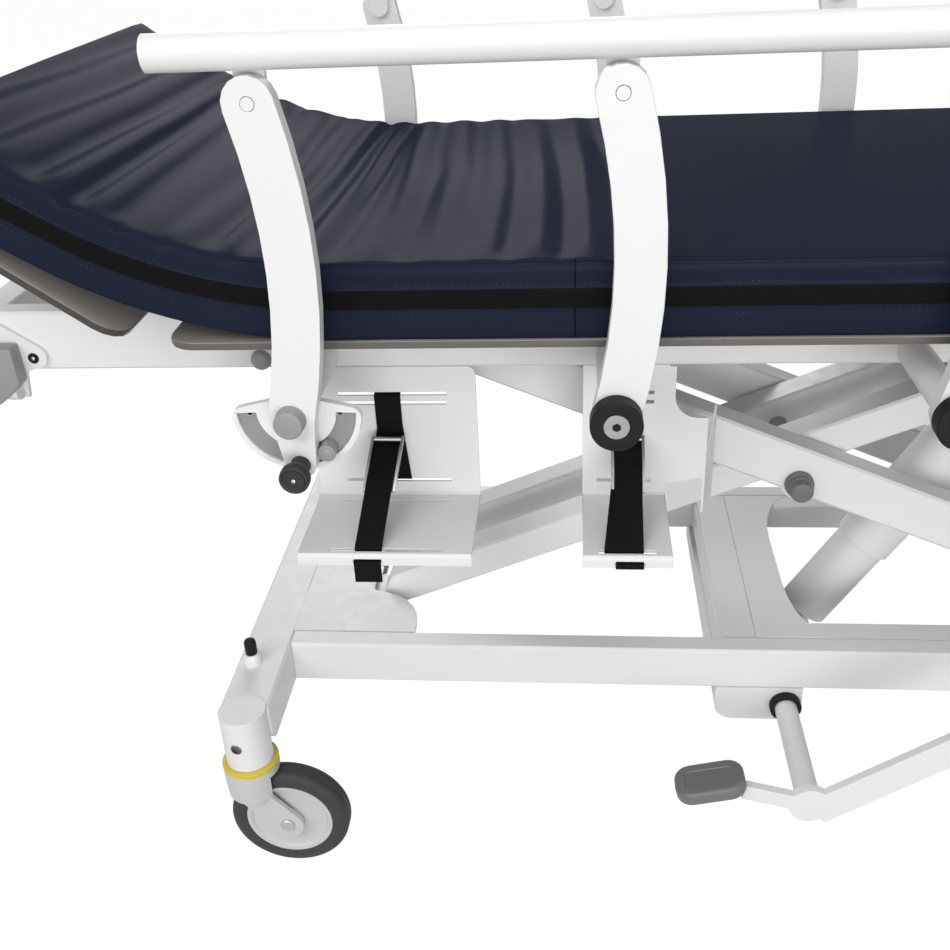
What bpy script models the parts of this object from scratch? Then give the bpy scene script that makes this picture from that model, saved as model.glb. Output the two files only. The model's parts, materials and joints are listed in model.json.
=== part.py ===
"""Patient transport stretcher: a hydraulic scissor-lift trolley with folding side rails.

Metres, +Z up. +X runs from the head end to the foot end, the right-hand side is -Y,
and the origin is on the floor under the crossing of the scissor arms.
"""
import math

import bmesh
import bpy
from mathutils import Matrix, Vector

# Clearances
GAP = 0.0003
RUN = 0.0005

# Base frame
TUBE_HEIGHT = 0.060
TUBE_WIDTH = 0.030
BASE_WIDTH = 0.415
WHEELBASE = 1.348
CASTOR_TRACK = 0.675
END_TUBE_WIDTH = 0.060
GUSSET_LENGTH = 0.160
GUSSET_WIDTH = 0.091
GUSSET_CORNER = 0.070
PLATE_THICKNESS = 0.005
CENTRE_PLATE_HEAD_EDGE = -0.0425
CENTRE_PLATE_WIDTH = 0.0515
CENTRE_PLATE_FLARE = 0.049
CENTRE_PLATE_FLARE_LENGTH = 0.122
CROSS_MEMBER_WIDTH = 0.046
CROSS_MEMBER_HEIGHT = 0.041
TUBE_ROUNDING = 0.003
END_TUBE_INSET = 0.010
END_TUBE_CORNER = 0.020
BUFFER_BOSS_RADIUS = 0.012
BUFFER_BOSS_HEIGHT = 0.008
BUFFER_OFFSET = 0.2455
BUFFER_OUTWARD = 0.010

# Castors
WHEEL_RADIUS = 0.075
WHEEL_WIDTH = 0.032
CASTOR_TRAIL = 0.041
AXLE_RADIUS = 0.006
CHEEK_THICKNESS = 0.0065
WHEEL_CLEARANCE = 0.0015
CROWN_HEIGHT = 0.011
RING_HEIGHT = 0.014
RING_RADIUS = 0.0345
HOUSING_RADIUS = 0.033
HOUSING_SKIRT = 0.038
HOUSING_TAPER = 0.033
STEM_RADIUS = 0.010
STEM_LENGTH = 0.030
SOCKET_RADIUS = 0.0285
SOCKET_LENGTH = 0.066
SOCKET_CAP_RISE = 0.002

# Scissor lift
LIFT_ANGLE = math.radians(22.55)
LIFT_HALF_SPAN = 0.545
LOWER_PIVOT_DROP = 0.030
INNER_ARM_HEIGHT = 0.045
INNER_ARM_WIDTH = 0.045
INNER_ARM_OFFSET = 0.057
OUTER_ARM_HEIGHT = 0.060
OUTER_ARM_WIDTH = 0.040
OUTER_ARM_OFFSET = 0.1045
ARM_RISE = 0.015
ARM_CUT_BACK = 0.035
SHAFT_RADIUS = 0.012
BOSS_RADIUS = 0.022
TIE_RADIUS = 0.016
TIE_FROM_END = 0.100
ROLLER_RADIUS = 0.015
ROLLER_WIDTH = 0.034
TRACK_LENGTH = 0.230
TRACK_THICKNESS = 0.004
PIVOT_CAP_RADII = (0.0175, 0.0155, 0.0135)
PIVOT_CAP_HEIGHT = 0.026

# Hydraulic cylinder, which turns and lengthens in step with the lift
CYLINDER_FOOT_X = 0.045
CYLINDER_FOOT_DROP = 0.095
CYLINDER_HEAD_X = 0.245
CYLINDER_HEAD_RISE = 0.225
CYLINDER_RADIUS = 0.035
CYLINDER_LENGTH = 0.258
CYLINDER_BORE_START = 0.034
CYLINDER_EYE_RADIUS = 0.016
CYLINDER_EYE_WIDTH = 0.030
CYLINDER_PIN_RADIUS = 0.006
ROD_RADIUS = 0.016
ROD_LENGTH = 0.245
GLAND_RADIUS = 0.0235
GLAND_LENGTH = 0.030
SLEEVE_WALL = 0.0025
SLEEVE_LENGTH = 0.180
SLEEVE_BELOW_ROLLER = 0.0455
SLEEVE_NECK = 0.030
ROD_ROLLER_RADIUS = 0.018
ROD_ROLLER_WIDTH = 0.044
CYLINDER_TURN_RATIO = 1.20
CYLINDER_STROKE_RATIO = 0.70
LIFT_TRAVEL = math.radians(8.0)
CAM_STEPS = 10
CAM_RUN_OUT = 0.030

# Pump housing and pedal
HOUSING_HEAD_X = -0.093
HOUSING_LENGTH = 0.110
HOUSING_HEIGHT = 0.051
HOUSING_CORNER = 0.022
LUG_THICKNESS = 0.010
PEDAL_X = -0.004
PEDAL_DROP = 0.085
PEDAL_SHAFT_RADIUS = 0.014
PEDAL_SHAFT_SEAT = 0.050
PEDAL_PLANE = 0.3725
PEDAL_THICKNESS = 0.010
PEDAL_HUB_RADIUS = 0.024
PUMP_ARM_ANGLE = math.radians(35.5)
PUMP_ARM_LENGTH = 0.200
PUMP_ARM_BELOW = 0.0314
PUMP_ARM_ABOVE = 0.0065
RELEASE_ARM_ANGLE = math.radians(14.0)
RELEASE_ARM_LENGTH = 0.078
RELEASE_ARM_HALF = 0.010
PAD_LENGTH = 0.080
PAD_WIDTH = 0.049
PAD_THICKNESS = 0.018
BUSH_RADIUS = 0.020
BUSH_LENGTH = 0.010

# Upper frame and platform
BEAM_HEIGHT = 0.070
BEAM_WIDTH = 0.030
PIVOT_ABOVE_BEAM_BOTTOM = 0.031
PLATFORM_LENGTH = 2.000
BEAM_END_INSET = 0.030
CROSS_TUBE_WIDTH = 0.040
CROSS_TUBE_HEIGHT = 0.050
CROSS_TUBE_INSET = 0.045
HINGE_CROSS_X = -0.655
PANEL_THICKNESS = 0.008
PANEL_WIDTH = 0.645
PANEL_CORNER = 0.030
MAIN_PANEL_HEAD_X = -0.688
HEAD_HINGE_X = -0.7277
HEAD_HINGE_RADIUS = 0.009
HEAD_PANEL_START = 0.015
HEAD_PANEL_END = 0.267
HEAD_RAISED = math.radians(35.8)
HEAD_BAR_LENGTH = 0.200
HEAD_BAR_WIDTH = 0.025
HEAD_BAR_OFFSET = 0.1375
HEAD_BAR_DEPTH = 0.015

# Mattress
MATTRESS_THICKNESS = 0.078
MATTRESS_WIDTH = 0.644
MATTRESS_CROWN = 0.006
MATTRESS_DRAW_IN = 0.005
MATTRESS_EDGE = 0.010
MATTRESS_BEND_X = -0.530
MATTRESS_HEAD_START = 0.090
MATTRESS_HEAD_END = 0.272
MATTRESS_FOOT_INSET = 0.005

# Side rails
RAIL_FIRST_X = -0.554
RAIL_SPACING = 0.3185
RAIL_ARM_COUNT = 3
RAIL_PIVOT_ABOVE_BEAM_BOTTOM = 0.015
RAIL_ARM_PLANE = 0.3585
RAIL_ARM_THICKNESS = 0.018
RAIL_ARM_WIDTH = 0.047
RAIL_ARM_LENGTH = 0.300
RAIL_ARM_BULGE = 0.019
RAIL_BOSS_RADIUS = 0.017
RAIL_PIN_RADIUS = 0.008
RAIL_DISC_RADIUS = 0.025
RAIL_DISC_THICKNESS = 0.017
RAIL_CAP_RADIUS = 0.0145
RAIL_CAP_THICKNESS = 0.012
RAIL_TOP_PIN_RADIUS = 0.006
RAIL_TUBE_RADIUS = 0.016
RAIL_TUBE_RISE = 0.042
RAIL_TUBE_OVERHANG = 0.085
RAIL_LUG_THICKNESS = 0.006
RAIL_LUG_RADIUS = 0.014
QUADRANT_RADIUS = 0.067
TRACK_INNER_RADIUS = 0.041
TRACK_OUTER_RADIUS = 0.0615
TRACK_DEPTH = 0.004
STOP_PEG_RADIUS = 0.0088
STOP_PEG_ANGLE = math.radians(-54.0)
QUADRANT_TOP = 0.011
QUADRANT_CORNER = 0.012
QUADRANT_THICKNESS = 0.008
LOCK_RADIUS = 0.051
LOCK_ANGLE = math.radians(-85.9)
RAIL_FOLD = math.radians(80.0)
PLUNGER_PIN_RADIUS = 0.005
PLUNGER_KNOB_RADIUS = 0.0155
PLUNGER_KNOB_LENGTH = 0.035
PLUNGER_TAIL_RADIUS = 0.016

# Bottle holders, straps and buckles
SHEET = 0.003
HOLDER_RECESS = 0.002
HOLDER_DROP = 0.1635
HOLDER_DEPTH = 0.1335
HOLDER_LIP = 0.014
HEAD_HOLDER_X = (-0.5775, -0.3855)
FOOT_HOLDER_X = (-0.2660, -0.1705)
FOOT_HOLDER_TAB = 0.045
FLANGE_DEPTH = 0.040
FLANGE_SPLAY = 0.014
FLANGE_SLANT = 0.045
HOLDER_CORNER = 0.010
SLOT_LENGTH = 0.146
UPPER_SLOT_DROP = 0.0335
UPPER_SLOT_SPACING = 0.0115
NARROW_SLOT = 0.004
LOWER_SLOT_RISE = 0.018
SHELF_SLOT_INSET = 0.018
FRONT_SLOT_INSET = 0.010
FRONT_SLOT_WIDTH = 0.006
LIP_SLOT_DROP = 0.008
STRAP_WIDTH = 0.030
STRAP_THICKNESS = 0.0016
STRAP_LEAVES_BACK = 0.078
HEAD_STRAP_X = -0.487
FOOT_STRAP_X = -0.216
HEAD_STRAP_LEAN = -0.013
FOOT_STRAP_LEAN = 0.0
HEAD_STRAP_TAIL = 0.0345
FOOT_STRAP_TAIL = 0.0145
BUCKLE_LENGTH = 0.066
BUCKLE_SHEET = 0.003
BUCKLE_WALL_DEPTH = 0.012
BUCKLE_BAR_RADIUS = 0.003

# Push bar at the head end
PUSH_BAR_RADIUS = 0.0125
PUSH_BAR_DROP = 0.018
PUSH_BRACKET_X = -0.909
PUSH_BRACKET_WIDTH = 0.072
PUSH_BRACKET_THICKNESS = 0.005
PUSH_BAR_BEND = 0.040

# Heights and places that follow from the sizes above
BASE_TOP = 2 * WHEEL_RADIUS + CROWN_HEIGHT + RING_HEIGHT + SOCKET_LENGTH
BASE_INNER = BASE_WIDTH / 2 - TUBE_WIDTH
END_X = WHEELBASE / 2
TUBE_END_X = END_X - END_TUBE_WIDTH / 2
HALF_ARM = LIFT_HALF_SPAN / math.cos(LIFT_ANGLE)
LOWER_PIVOT_Z = BASE_TOP - LOWER_PIVOT_DROP
UPPER_PIVOT_Z = LOWER_PIVOT_Z + 2 * HALF_ARM * math.sin(LIFT_ANGLE)
BEAM_BOTTOM = UPPER_PIVOT_Z - PIVOT_ABOVE_BEAM_BOTTOM
BEAM_TOP = BEAM_BOTTOM + BEAM_HEIGHT
BEAM_OUTER = BASE_WIDTH / 2
BEAM_INNER = BEAM_OUTER - BEAM_WIDTH
PLATFORM_HALF = PLATFORM_LENGTH / 2
BEAM_HALF = PLATFORM_HALF - BEAM_END_INSET
PANEL_BOTTOM = BEAM_TOP + GAP
MATTRESS_BOTTOM = PANEL_BOTTOM + PANEL_THICKNESS + GAP
HEAD_HINGE_Z = BEAM_TOP - HEAD_HINGE_RADIUS
RAIL_PIVOT_Z = BEAM_BOTTOM + RAIL_PIVOT_ABOVE_BEAM_BOTTOM
RAIL_ARM_INNER = RAIL_ARM_PLANE - RAIL_ARM_THICKNESS / 2
RAIL_ARM_OUTER = RAIL_ARM_PLANE + RAIL_ARM_THICKNESS / 2
RAIL_BOSS_END = RAIL_ARM_INNER - 2 * RUN
HOLDER_FRONT = BEAM_OUTER - HOLDER_RECESS
HOLDER_SHELF_Z = BEAM_BOTTOM - HOLDER_DROP
HOLDER_LIP_Y = HOLDER_FRONT + HOLDER_DEPTH
HOUSING_TOP = BASE_TOP - TUBE_HEIGHT - GAP
PEDAL_Z = BASE_TOP - PEDAL_DROP

SIDES = (("right", -1), ("left", 1))
ENDS = (("head", -1), ("foot", 1))


def clear_scene():
    for old in list(bpy.data.objects):
        bpy.data.objects.remove(old, do_unlink=True)


def new_collection(name):
    group = bpy.data.collections.new(name)
    bpy.context.scene.collection.children.link(group)
    return group


clear_scene()
PARTS = new_collection("patient_transport_stretcher")
CUTTERS = new_collection("stretcher_cutters")


def finish(name, colour, roughness, metallic=0.0):
    material = bpy.data.materials.new(name)
    material.use_nodes = True
    shader = material.node_tree.nodes["Principled BSDF"]
    shader.inputs["Base Color"].default_value = (*colour, 1.0)
    shader.inputs["Roughness"].default_value = roughness
    shader.inputs["Metallic"].default_value = metallic
    material.diffuse_color = (*colour, 1.0)
    return material


WHITE = finish("white_powder_coat", (0.80, 0.81, 0.82), 0.35)
GREY = finish("grey_plastic", (0.30, 0.31, 0.33), 0.5)
CASTOR_GREY = finish("light_grey_plastic", (0.55, 0.56, 0.58), 0.45)
BLACK = finish("black_rubber", (0.02, 0.02, 0.022), 0.6)
TYRE = finish("dark_grey_tyre", (0.09, 0.09, 0.10), 0.6)
STEEL = finish("bright_steel", (0.62, 0.62, 0.63), 0.25, 1.0)
LAMINATE = finish("grey_laminate", (0.20, 0.185, 0.18), 0.45)
NAVY = finish("navy_coated_fabric", (0.022, 0.026, 0.060), 0.5)
WEBBING = finish("black_webbing", (0.015, 0.015, 0.017), 0.85)


def axis_empty(name, place, parent=None, turn_y=0.0):
    """An empty on a joint's axis: what moves with the joint hangs from it."""
    empty = bpy.data.objects.new(name, None)
    PARTS.objects.link(empty)
    empty.parent = parent
    empty.location = place
    empty.rotation_euler = (0.0, turn_y, 0.0)
    return empty


def mesh_object(name, bm, parent, collection):
    mesh = bpy.data.meshes.new(name)
    bmesh.ops.recalc_face_normals(bm, faces=bm.faces)
    bm.to_mesh(mesh)
    bm.free()
    mesh.shade_smooth()
    mesh.set_sharp_from_angle(angle=math.radians(35))
    made = bpy.data.objects.new(name, mesh)
    collection.objects.link(made)
    made.parent = parent
    return made


def hidden_tool(name, bm, parent):
    tool = mesh_object(name, bm, parent, CUTTERS)
    tool.hide_render = True
    tool.display_type = "WIRE"
    return tool


def piece(name, bm, material, parent=None, join=(), cut=(), add=()):
    """One named sub-part: shapes are welded to it, others cut out, and the last ones added."""
    made = mesh_object(name, bm, parent, PARTS)
    made.data.materials.append(material)
    rounds = (("joined", "UNION", join), ("cut", "DIFFERENCE", cut), ("added", "UNION", add))
    for word, operation, shapes in rounds:
        for number, shape in enumerate(shapes):
            label = f"{name}_{word}_{number}"
            step = made.modifiers.new(label, "BOOLEAN")
            step.operation = operation
            step.object = hidden_tool(label, shape, parent)
    return made


def box(low, high, round_along=None):
    """A block, as a tube with its long edges rounded where an axis is named."""
    bm = bmesh.new()
    bmesh.ops.create_cube(bm, size=1.0)
    size = Vector(high) - Vector(low)
    bmesh.ops.scale(bm, vec=size, verts=bm.verts)
    bmesh.ops.translate(bm, vec=(Vector(high) + Vector(low)) / 2, verts=bm.verts)
    if round_along:
        round_long_edges(bm, round_along)
    return bm


def round_long_edges(bm, along):
    """Round the edges that run along one axis, and leave the ends square for welding."""
    axis = Vector({"X": (1, 0, 0), "Y": (0, 1, 0), "Z": (0, 0, 1)}[along])
    long_edges = []
    for edge in bm.edges:
        run = edge.verts[1].co - edge.verts[0].co
        if abs(run.normalized().dot(axis)) > 0.999:
            long_edges.append(edge)
    soften(bm, TUBE_ROUNDING, long_edges)


def soften(bm, size, edges, segments=1):
    bmesh.ops.bevel(
        bm,
        geom=edges,
        offset=size,
        offset_type="OFFSET",
        segments=segments,
        profile=0.5,
        affect="EDGES",
    )


def rod(radius, start, end, sides=20, end_radius=None):
    bm = bmesh.new()
    run = Vector(end) - Vector(start)
    bmesh.ops.create_cone(
        bm,
        cap_ends=True,
        segments=sides,
        radius1=radius,
        radius2=radius if end_radius is None else end_radius,
        depth=run.length,
    )
    turn = Vector((0, 0, 1)).rotation_difference(run).to_matrix().to_4x4()
    middle = Matrix.Translation((Vector(start) + Vector(end)) / 2)
    bmesh.ops.transform(bm, matrix=middle @ turn, verts=bm.verts)
    return bm


def cross_rod(radius, x, z, low_y, high_y, sides=20):
    return rod(radius, (x, low_y, z), (x, high_y, z), sides)


def prism(outline, along, low, high):
    """A flat outline pushed straight along X, Y or Z from low to high."""
    place = {
        "X": lambda a, b: (low, a, b),
        "Y": lambda a, b: (a, low, b),
        "Z": lambda a, b: (a, b, low),
    }[along]
    push = {"X": (high - low, 0, 0), "Y": (0, high - low, 0), "Z": (0, 0, high - low)}[along]
    bm = bmesh.new()
    face = bm.faces.new([bm.verts.new(place(a, b)) for a, b in outline])
    grown = bmesh.ops.extrude_face_region(bm, geom=[face])
    moved = [item for item in grown["geom"] if isinstance(item, bmesh.types.BMVert)]
    bmesh.ops.translate(bm, vec=push, verts=moved)
    return bm


def arc(centre, radius, start, end, steps):
    """Points on a circle from one angle to another, both in degrees."""
    points = []
    for step in range(steps + 1):
        angle = math.radians(start + (end - start) * step / steps)
        points.append(
            (centre[0] + radius * math.cos(angle), centre[1] + radius * math.sin(angle))
        )
    return points


def rounded_rectangle(low, high, radius, steps=4):
    points = []
    for corner, start in (
        ((high[0] - radius, high[1] - radius), 0),
        ((low[0] + radius, high[1] - radius), 90),
        ((low[0] + radius, low[1] + radius), 180),
        ((high[0] - radius, low[1] + radius), 270),
    ):
        points += arc(corner, radius, start, start + 90, steps)
    return points


def plate(name, loops, thickness, material, parent, place, upright):
    """A flat outline with its holes, as a filled 2D curve pushed to a thickness."""
    curve = bpy.data.curves.new(name, "CURVE")
    curve.dimensions = "2D"
    curve.fill_mode = "BOTH"
    curve.extrude = thickness / 2
    for loop in loops:
        spline = curve.splines.new("POLY")
        spline.points.add(len(loop) - 1)
        spline.use_cyclic_u = True
        for point, (a, b) in zip(spline.points, loop):
            point.co = (a, b, 0.0, 1.0)
    curve.materials.append(material)
    made = bpy.data.objects.new(name, curve)
    PARTS.objects.link(made)
    made.parent = parent
    made.location = place
    made.rotation_euler = (math.pi / 2 if upright else 0.0, 0.0, 0.0)
    return made


def turned(name, profile, material, parent, place, rotation, sides=24):
    """A profile of (radius, height) points, closed on itself, swept round its axis."""
    bm = bmesh.new()
    corners = [bm.verts.new((radius, 0.0, height)) for radius, height in profile]
    for first, second in zip(corners, corners[1:] + corners[:1]):
        bm.edges.new((first, second))
    mesh = bpy.data.meshes.new(name)
    bm.to_mesh(mesh)
    bm.free()
    made = bpy.data.objects.new(name, mesh)
    PARTS.objects.link(made)
    made.data.materials.append(material)
    made.parent = parent
    made.location = place
    made.rotation_euler = rotation
    sweep = made.modifiers.new("sweep", "SCREW")
    sweep.steps = sides
    sweep.render_steps = sides
    sweep.use_merge_vertices = True
    sweep.merge_threshold = 0.00001
    return made


def loft(rings):
    """A closed form through rings of the same number of points, with flat ends."""
    bm = bmesh.new()
    loops = []
    for ring in rings:
        loops.append([bm.verts.new(point) for point in ring])
    for first, second in zip(loops, loops[1:]):
        for i in range(len(first)):
            j = (i + 1) % len(first)
            bm.faces.new((first[i], first[j], second[j], second[i]))
    bm.faces.new(loops[0])
    bm.faces.new(loops[-1])
    return bm


# Base frame
def base_end(end, sign):
    """The cross tube at one end, with its castor sockets and, at the head, its gussets."""
    half_track = CASTOR_TRACK / 2
    x = sign * END_X
    reach = half_track - END_TUBE_INSET
    corner = END_TUBE_CORNER
    low = BASE_TOP - TUBE_HEIGHT
    outline = [(reach, BASE_TOP), (-reach, BASE_TOP)]
    outline += arc((-reach + corner, low + corner), corner, 180, 270, 4)
    outline += arc((reach - corner, low + corner), corner, 270, 360, 4)
    tube = prism(outline, "X", x - END_TUBE_WIDTH / 2, x + END_TUBE_WIDTH / 2)
    bmesh.ops.recalc_face_normals(tube, faces=tube.faces)
    round_long_edges(tube, "Y")
    joins = []
    cuts = []
    for _, side in SIDES:
        y = side * half_track
        socket_bottom = BASE_TOP - SOCKET_LENGTH
        socket_top = BASE_TOP + SOCKET_CAP_RISE
        joins.append(rod(SOCKET_RADIUS, (x, y, socket_bottom), (x, y, socket_top), 28))
        boss_x = x + sign * BUFFER_OUTWARD
        boss = (boss_x, side * BUFFER_OFFSET, BASE_TOP - TUBE_HEIGHT / 2)
        boss_top = (boss_x, side * BUFFER_OFFSET, BASE_TOP + BUFFER_BOSS_HEIGHT)
        joins.append(rod(BUFFER_BOSS_RADIUS, boss, boss_top))
        bore_start = (x, y, socket_bottom - GAP)
        bore_end = (x, y, socket_bottom + STEM_LENGTH + RUN)
        cuts.append(rod(STEM_RADIUS + RUN, bore_start, bore_end, 12))
        if sign < 0:
            joins.append(gusset(side))
    return piece(f"base_end_{end}", tube, WHITE, None, joins, cuts)


def gusset(side):
    start = -TUBE_END_X - GUSSET_LENGTH / 4
    end = -TUBE_END_X + GUSSET_LENGTH
    outer = BASE_INNER - GAP
    inner = BASE_INNER - GUSSET_WIDTH
    outline = [(start, outer), (start, inner)]
    outline += arc((end - GUSSET_CORNER, inner + GUSSET_CORNER), GUSSET_CORNER, -90, 0, 6)
    outline += [(end, outer)]
    mirrored = [(x, side * y) for x, y in outline]
    return prism(mirrored, "Z", BASE_TOP - PLATE_THICKNESS, BASE_TOP - GAP)


def track_ledges(side, inner_face, axis_z, start_x, end_x):
    """The two ledges that a roller runs between, on the inside of a side tube."""
    reach = inner_face - ROLLER_WIDTH - 2 * RUN
    shapes = []
    for up in (-1, 1):
        near = axis_z + up * (ROLLER_RADIUS + GAP)
        far = near + up * TRACK_THICKNESS
        low = (start_x, min(side * reach, side * (inner_face + RUN)), min(near, far))
        high = (end_x, max(side * reach, side * (inner_face + RUN)), max(near, far))
        shapes.append(box(low, high))
    return shapes


def base_side_tube(side_name, side):
    outer = side * BASE_WIDTH / 2
    inner = side * BASE_INNER
    tube = box(
        (-TUBE_END_X + GAP, min(outer, inner), BASE_TOP - TUBE_HEIGHT),
        (TUBE_END_X - GAP, max(outer, inner), BASE_TOP),
        "X",
    )
    end_x = TUBE_END_X - GAP
    ledges = track_ledges(side, BASE_INNER, LOWER_PIVOT_Z, end_x - TRACK_LENGTH, end_x)
    piece(f"base_side_tube_{side_name}", tube, WHITE, None, ledges)


def centre_plate():
    """A strap across the base whose foot edge flares out towards the side tubes."""
    head = CENTRE_PLATE_HEAD_EDGE
    waist = head + CENTRE_PLATE_WIDTH
    reach = BASE_INNER - GAP
    flare_start = reach - CENTRE_PLATE_FLARE_LENGTH
    steps = 6
    edge = []
    for step in range(steps + 1):
        angle = math.radians(90 * step / steps)
        x = waist + CENTRE_PLATE_FLARE * (1 - math.cos(angle))
        y = flare_start + CENTRE_PLATE_FLARE_LENGTH * math.sin(angle)
        edge.append((x, y))
    outline = [(head, -reach)]
    outline += [(x, -y) for x, y in reversed(edge)]
    outline += edge
    outline += [(head, reach)]
    place = (0.0, 0.0, BASE_TOP - PLATE_THICKNESS / 2)
    plate("centre_plate", [outline], PLATE_THICKNESS, WHITE, None, place, False)


def base_cross_member():
    end = CENTRE_PLATE_HEAD_EDGE - GAP
    reach = BASE_INNER - GAP
    shape = box(
        (end - CROSS_MEMBER_WIDTH, -reach, BASE_TOP - TUBE_WIDTH - CROSS_MEMBER_HEIGHT / 2),
        (end, reach, BASE_TOP - TUBE_WIDTH + CROSS_MEMBER_HEIGHT / 2),
        "Y",
    )
    piece("base_cross_member", shape, WHITE)


def lower_pivot_shaft():
    reach = BASE_INNER - GAP
    shape = cross_rod(SHAFT_RADIUS, -LIFT_HALF_SPAN, LOWER_PIVOT_Z, -reach, reach)
    piece("lower_pivot_shaft", shape, STEEL)


def pump_housing():
    """The hydraulic pump's cover under the side tubes, with the clevis for the cylinder's foot."""
    half = BASE_WIDTH / 2 - RUN
    low = HOUSING_TOP - HOUSING_HEIGHT
    end = HOUSING_HEAD_X + HOUSING_LENGTH
    corner = HOUSING_CORNER
    outline = [(HOUSING_HEAD_X, HOUSING_TOP)]
    outline += arc((HOUSING_HEAD_X + corner, low + corner), corner, 180, 270, 5)
    outline += arc((end - corner, low + corner), corner, 270, 360, 5)
    outline += [(end, HOUSING_TOP)]
    foot_z = BASE_TOP - CYLINDER_FOOT_DROP
    joins = []
    for _, side in SIDES:
        near = side * (CYLINDER_EYE_WIDTH / 2 + RUN)
        far = near + side * LUG_THICKNESS
        ear = [(end - corner, foot_z + corner), (end - corner, foot_z - CYLINDER_EYE_RADIUS / 2)]
        ear += arc((CYLINDER_FOOT_X, foot_z), CYLINDER_EYE_RADIUS, -110, 90, 8)
        joins.append(prism(ear, "Y", min(near, far), max(near, far)))
    pin_reach = CYLINDER_EYE_WIDTH
    cuts = [
        cross_rod(CYLINDER_PIN_RADIUS + RUN, CYLINDER_FOOT_X, foot_z, -pin_reach, pin_reach),
        cross_rod(
            PEDAL_SHAFT_RADIUS + RUN, PEDAL_X, PEDAL_Z, -half - 0.01, -half + PEDAL_SHAFT_SEAT
        ),
    ]
    piece("pump_housing", prism(outline, "Y", -half, half), WHITE, None, joins, cuts)


def pedal_bush():
    face = -(BASE_WIDTH / 2 - RUN) - GAP
    shape = cross_rod(BUSH_RADIUS, PEDAL_X, PEDAL_Z, face - BUSH_LENGTH, face, 24)
    bore = cross_rod(PEDAL_SHAFT_RADIUS + RUN, PEDAL_X, PEDAL_Z, face - 0.1, face + 0.1, 24)
    piece("pedal_bush", shape, BLACK, None, (), [bore])


# Castors
def castor(end, end_sign, side_name, side):
    label = f"{end}_{side_name}"
    place = (end_sign * END_X, side * CASTOR_TRACK / 2, BASE_TOP - SOCKET_LENGTH)
    swivel = axis_empty(f"swivel_axis_{label}", place)
    axle_z = -(RING_HEIGHT + CROWN_HEIGHT + WHEEL_RADIUS)
    slot_half = WHEEL_WIDTH / 2 + WHEEL_CLEARANCE
    body_half = slot_half + CHEEK_THICKNESS
    crown_z = -RING_HEIGHT / 2
    boss = CASTOR_TRAIL / 2
    cheek = [(-RING_RADIUS + 0.003, crown_z), (-RING_RADIUS + 0.003, axle_z / 2)]
    cheek += arc((CASTOR_TRAIL, axle_z), boss, 215, 390, 8)
    cheek += [(RING_RADIUS + 0.004, axle_z / 2), (RING_RADIUS - 0.003, crown_z)]
    ring = rod(RING_RADIUS, (0, 0, -RING_HEIGHT), (0, 0, -GAP), 24)
    skirt_z = -RING_HEIGHT - HOUSING_SKIRT
    taper_z = skirt_z - HOUSING_TAPER
    joins = [
        rod(STEM_RADIUS, (0, 0, -RING_HEIGHT / 2), (0, 0, STEM_LENGTH), 12),
        prism(cheek, "Y", -body_half, body_half),
        rod(HOUSING_RADIUS, (0, 0, crown_z), (0, 0, skirt_z), 20),
        rod(HOUSING_RADIUS - GAP, (0, 0, skirt_z + RUN), (0, 0, taper_z), 20, slot_half),
    ]
    slot_top = -(RING_HEIGHT + CROWN_HEIGHT - WHEEL_CLEARANCE)
    cuts = [box((-0.2, -slot_half, -0.3), (0.2, slot_half, slot_top))]
    reach = body_half + 0.001
    axle = cross_rod(AXLE_RADIUS, CASTOR_TRAIL, axle_z, -reach, reach, 16)
    piece(f"castor_body_{label}", ring, CASTOR_GREY, swivel, joins, cuts, [axle])
    spin = axis_empty(f"wheel_axis_{label}", (CASTOR_TRAIL, 0, axle_z), swivel)
    half = WHEEL_WIDTH / 2
    tread = WHEEL_RADIUS - 0.004
    dish = WHEEL_RADIUS * 0.70
    hub = WHEEL_RADIUS * 0.30
    bore = AXLE_RADIUS + RUN
    profile = [(bore, half), (hub, half), (dish, half * 0.55), (tread - 0.008, half)]
    profile += [(tread, half * 0.75), (WHEEL_RADIUS, half * 0.3)]
    mirrored = [(radius, -height) for radius, height in reversed(profile)]
    turn = (math.pi / 2, 0, 0)
    turned(f"castor_wheel_{label}", profile + mirrored, TYRE, spin, (0, 0, 0), turn)


# Scissor lift
def arm_pair(offset, width, height, start, end):
    """Two arms between pivots at start and end, cut back above the pivots."""
    low = ARM_RISE - height / 2
    high = ARM_RISE + height / 2
    outline = [(start, low), (end, low), (end, ARM_RISE / 2)]
    outline += [(end - ARM_CUT_BACK, high), (start + ARM_CUT_BACK, high), (start, ARM_RISE / 2)]
    shapes = []
    for _, side in SIDES:
        near = side * offset - width / 2
        shape = prism(outline, "Y", near, near + width)
        bmesh.ops.recalc_face_normals(shape, faces=shape.faces)
        soften(shape, TUBE_ROUNDING, shape.edges[:])
        shapes.append(shape)
    return shapes


def boss_pair(offset, width, x):
    shapes = []
    for _, side in SIDES:
        y = side * offset
        shapes.append(cross_rod(BOSS_RADIUS, x, 0.0, y - width / 2, y + width / 2))
    return shapes


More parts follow.
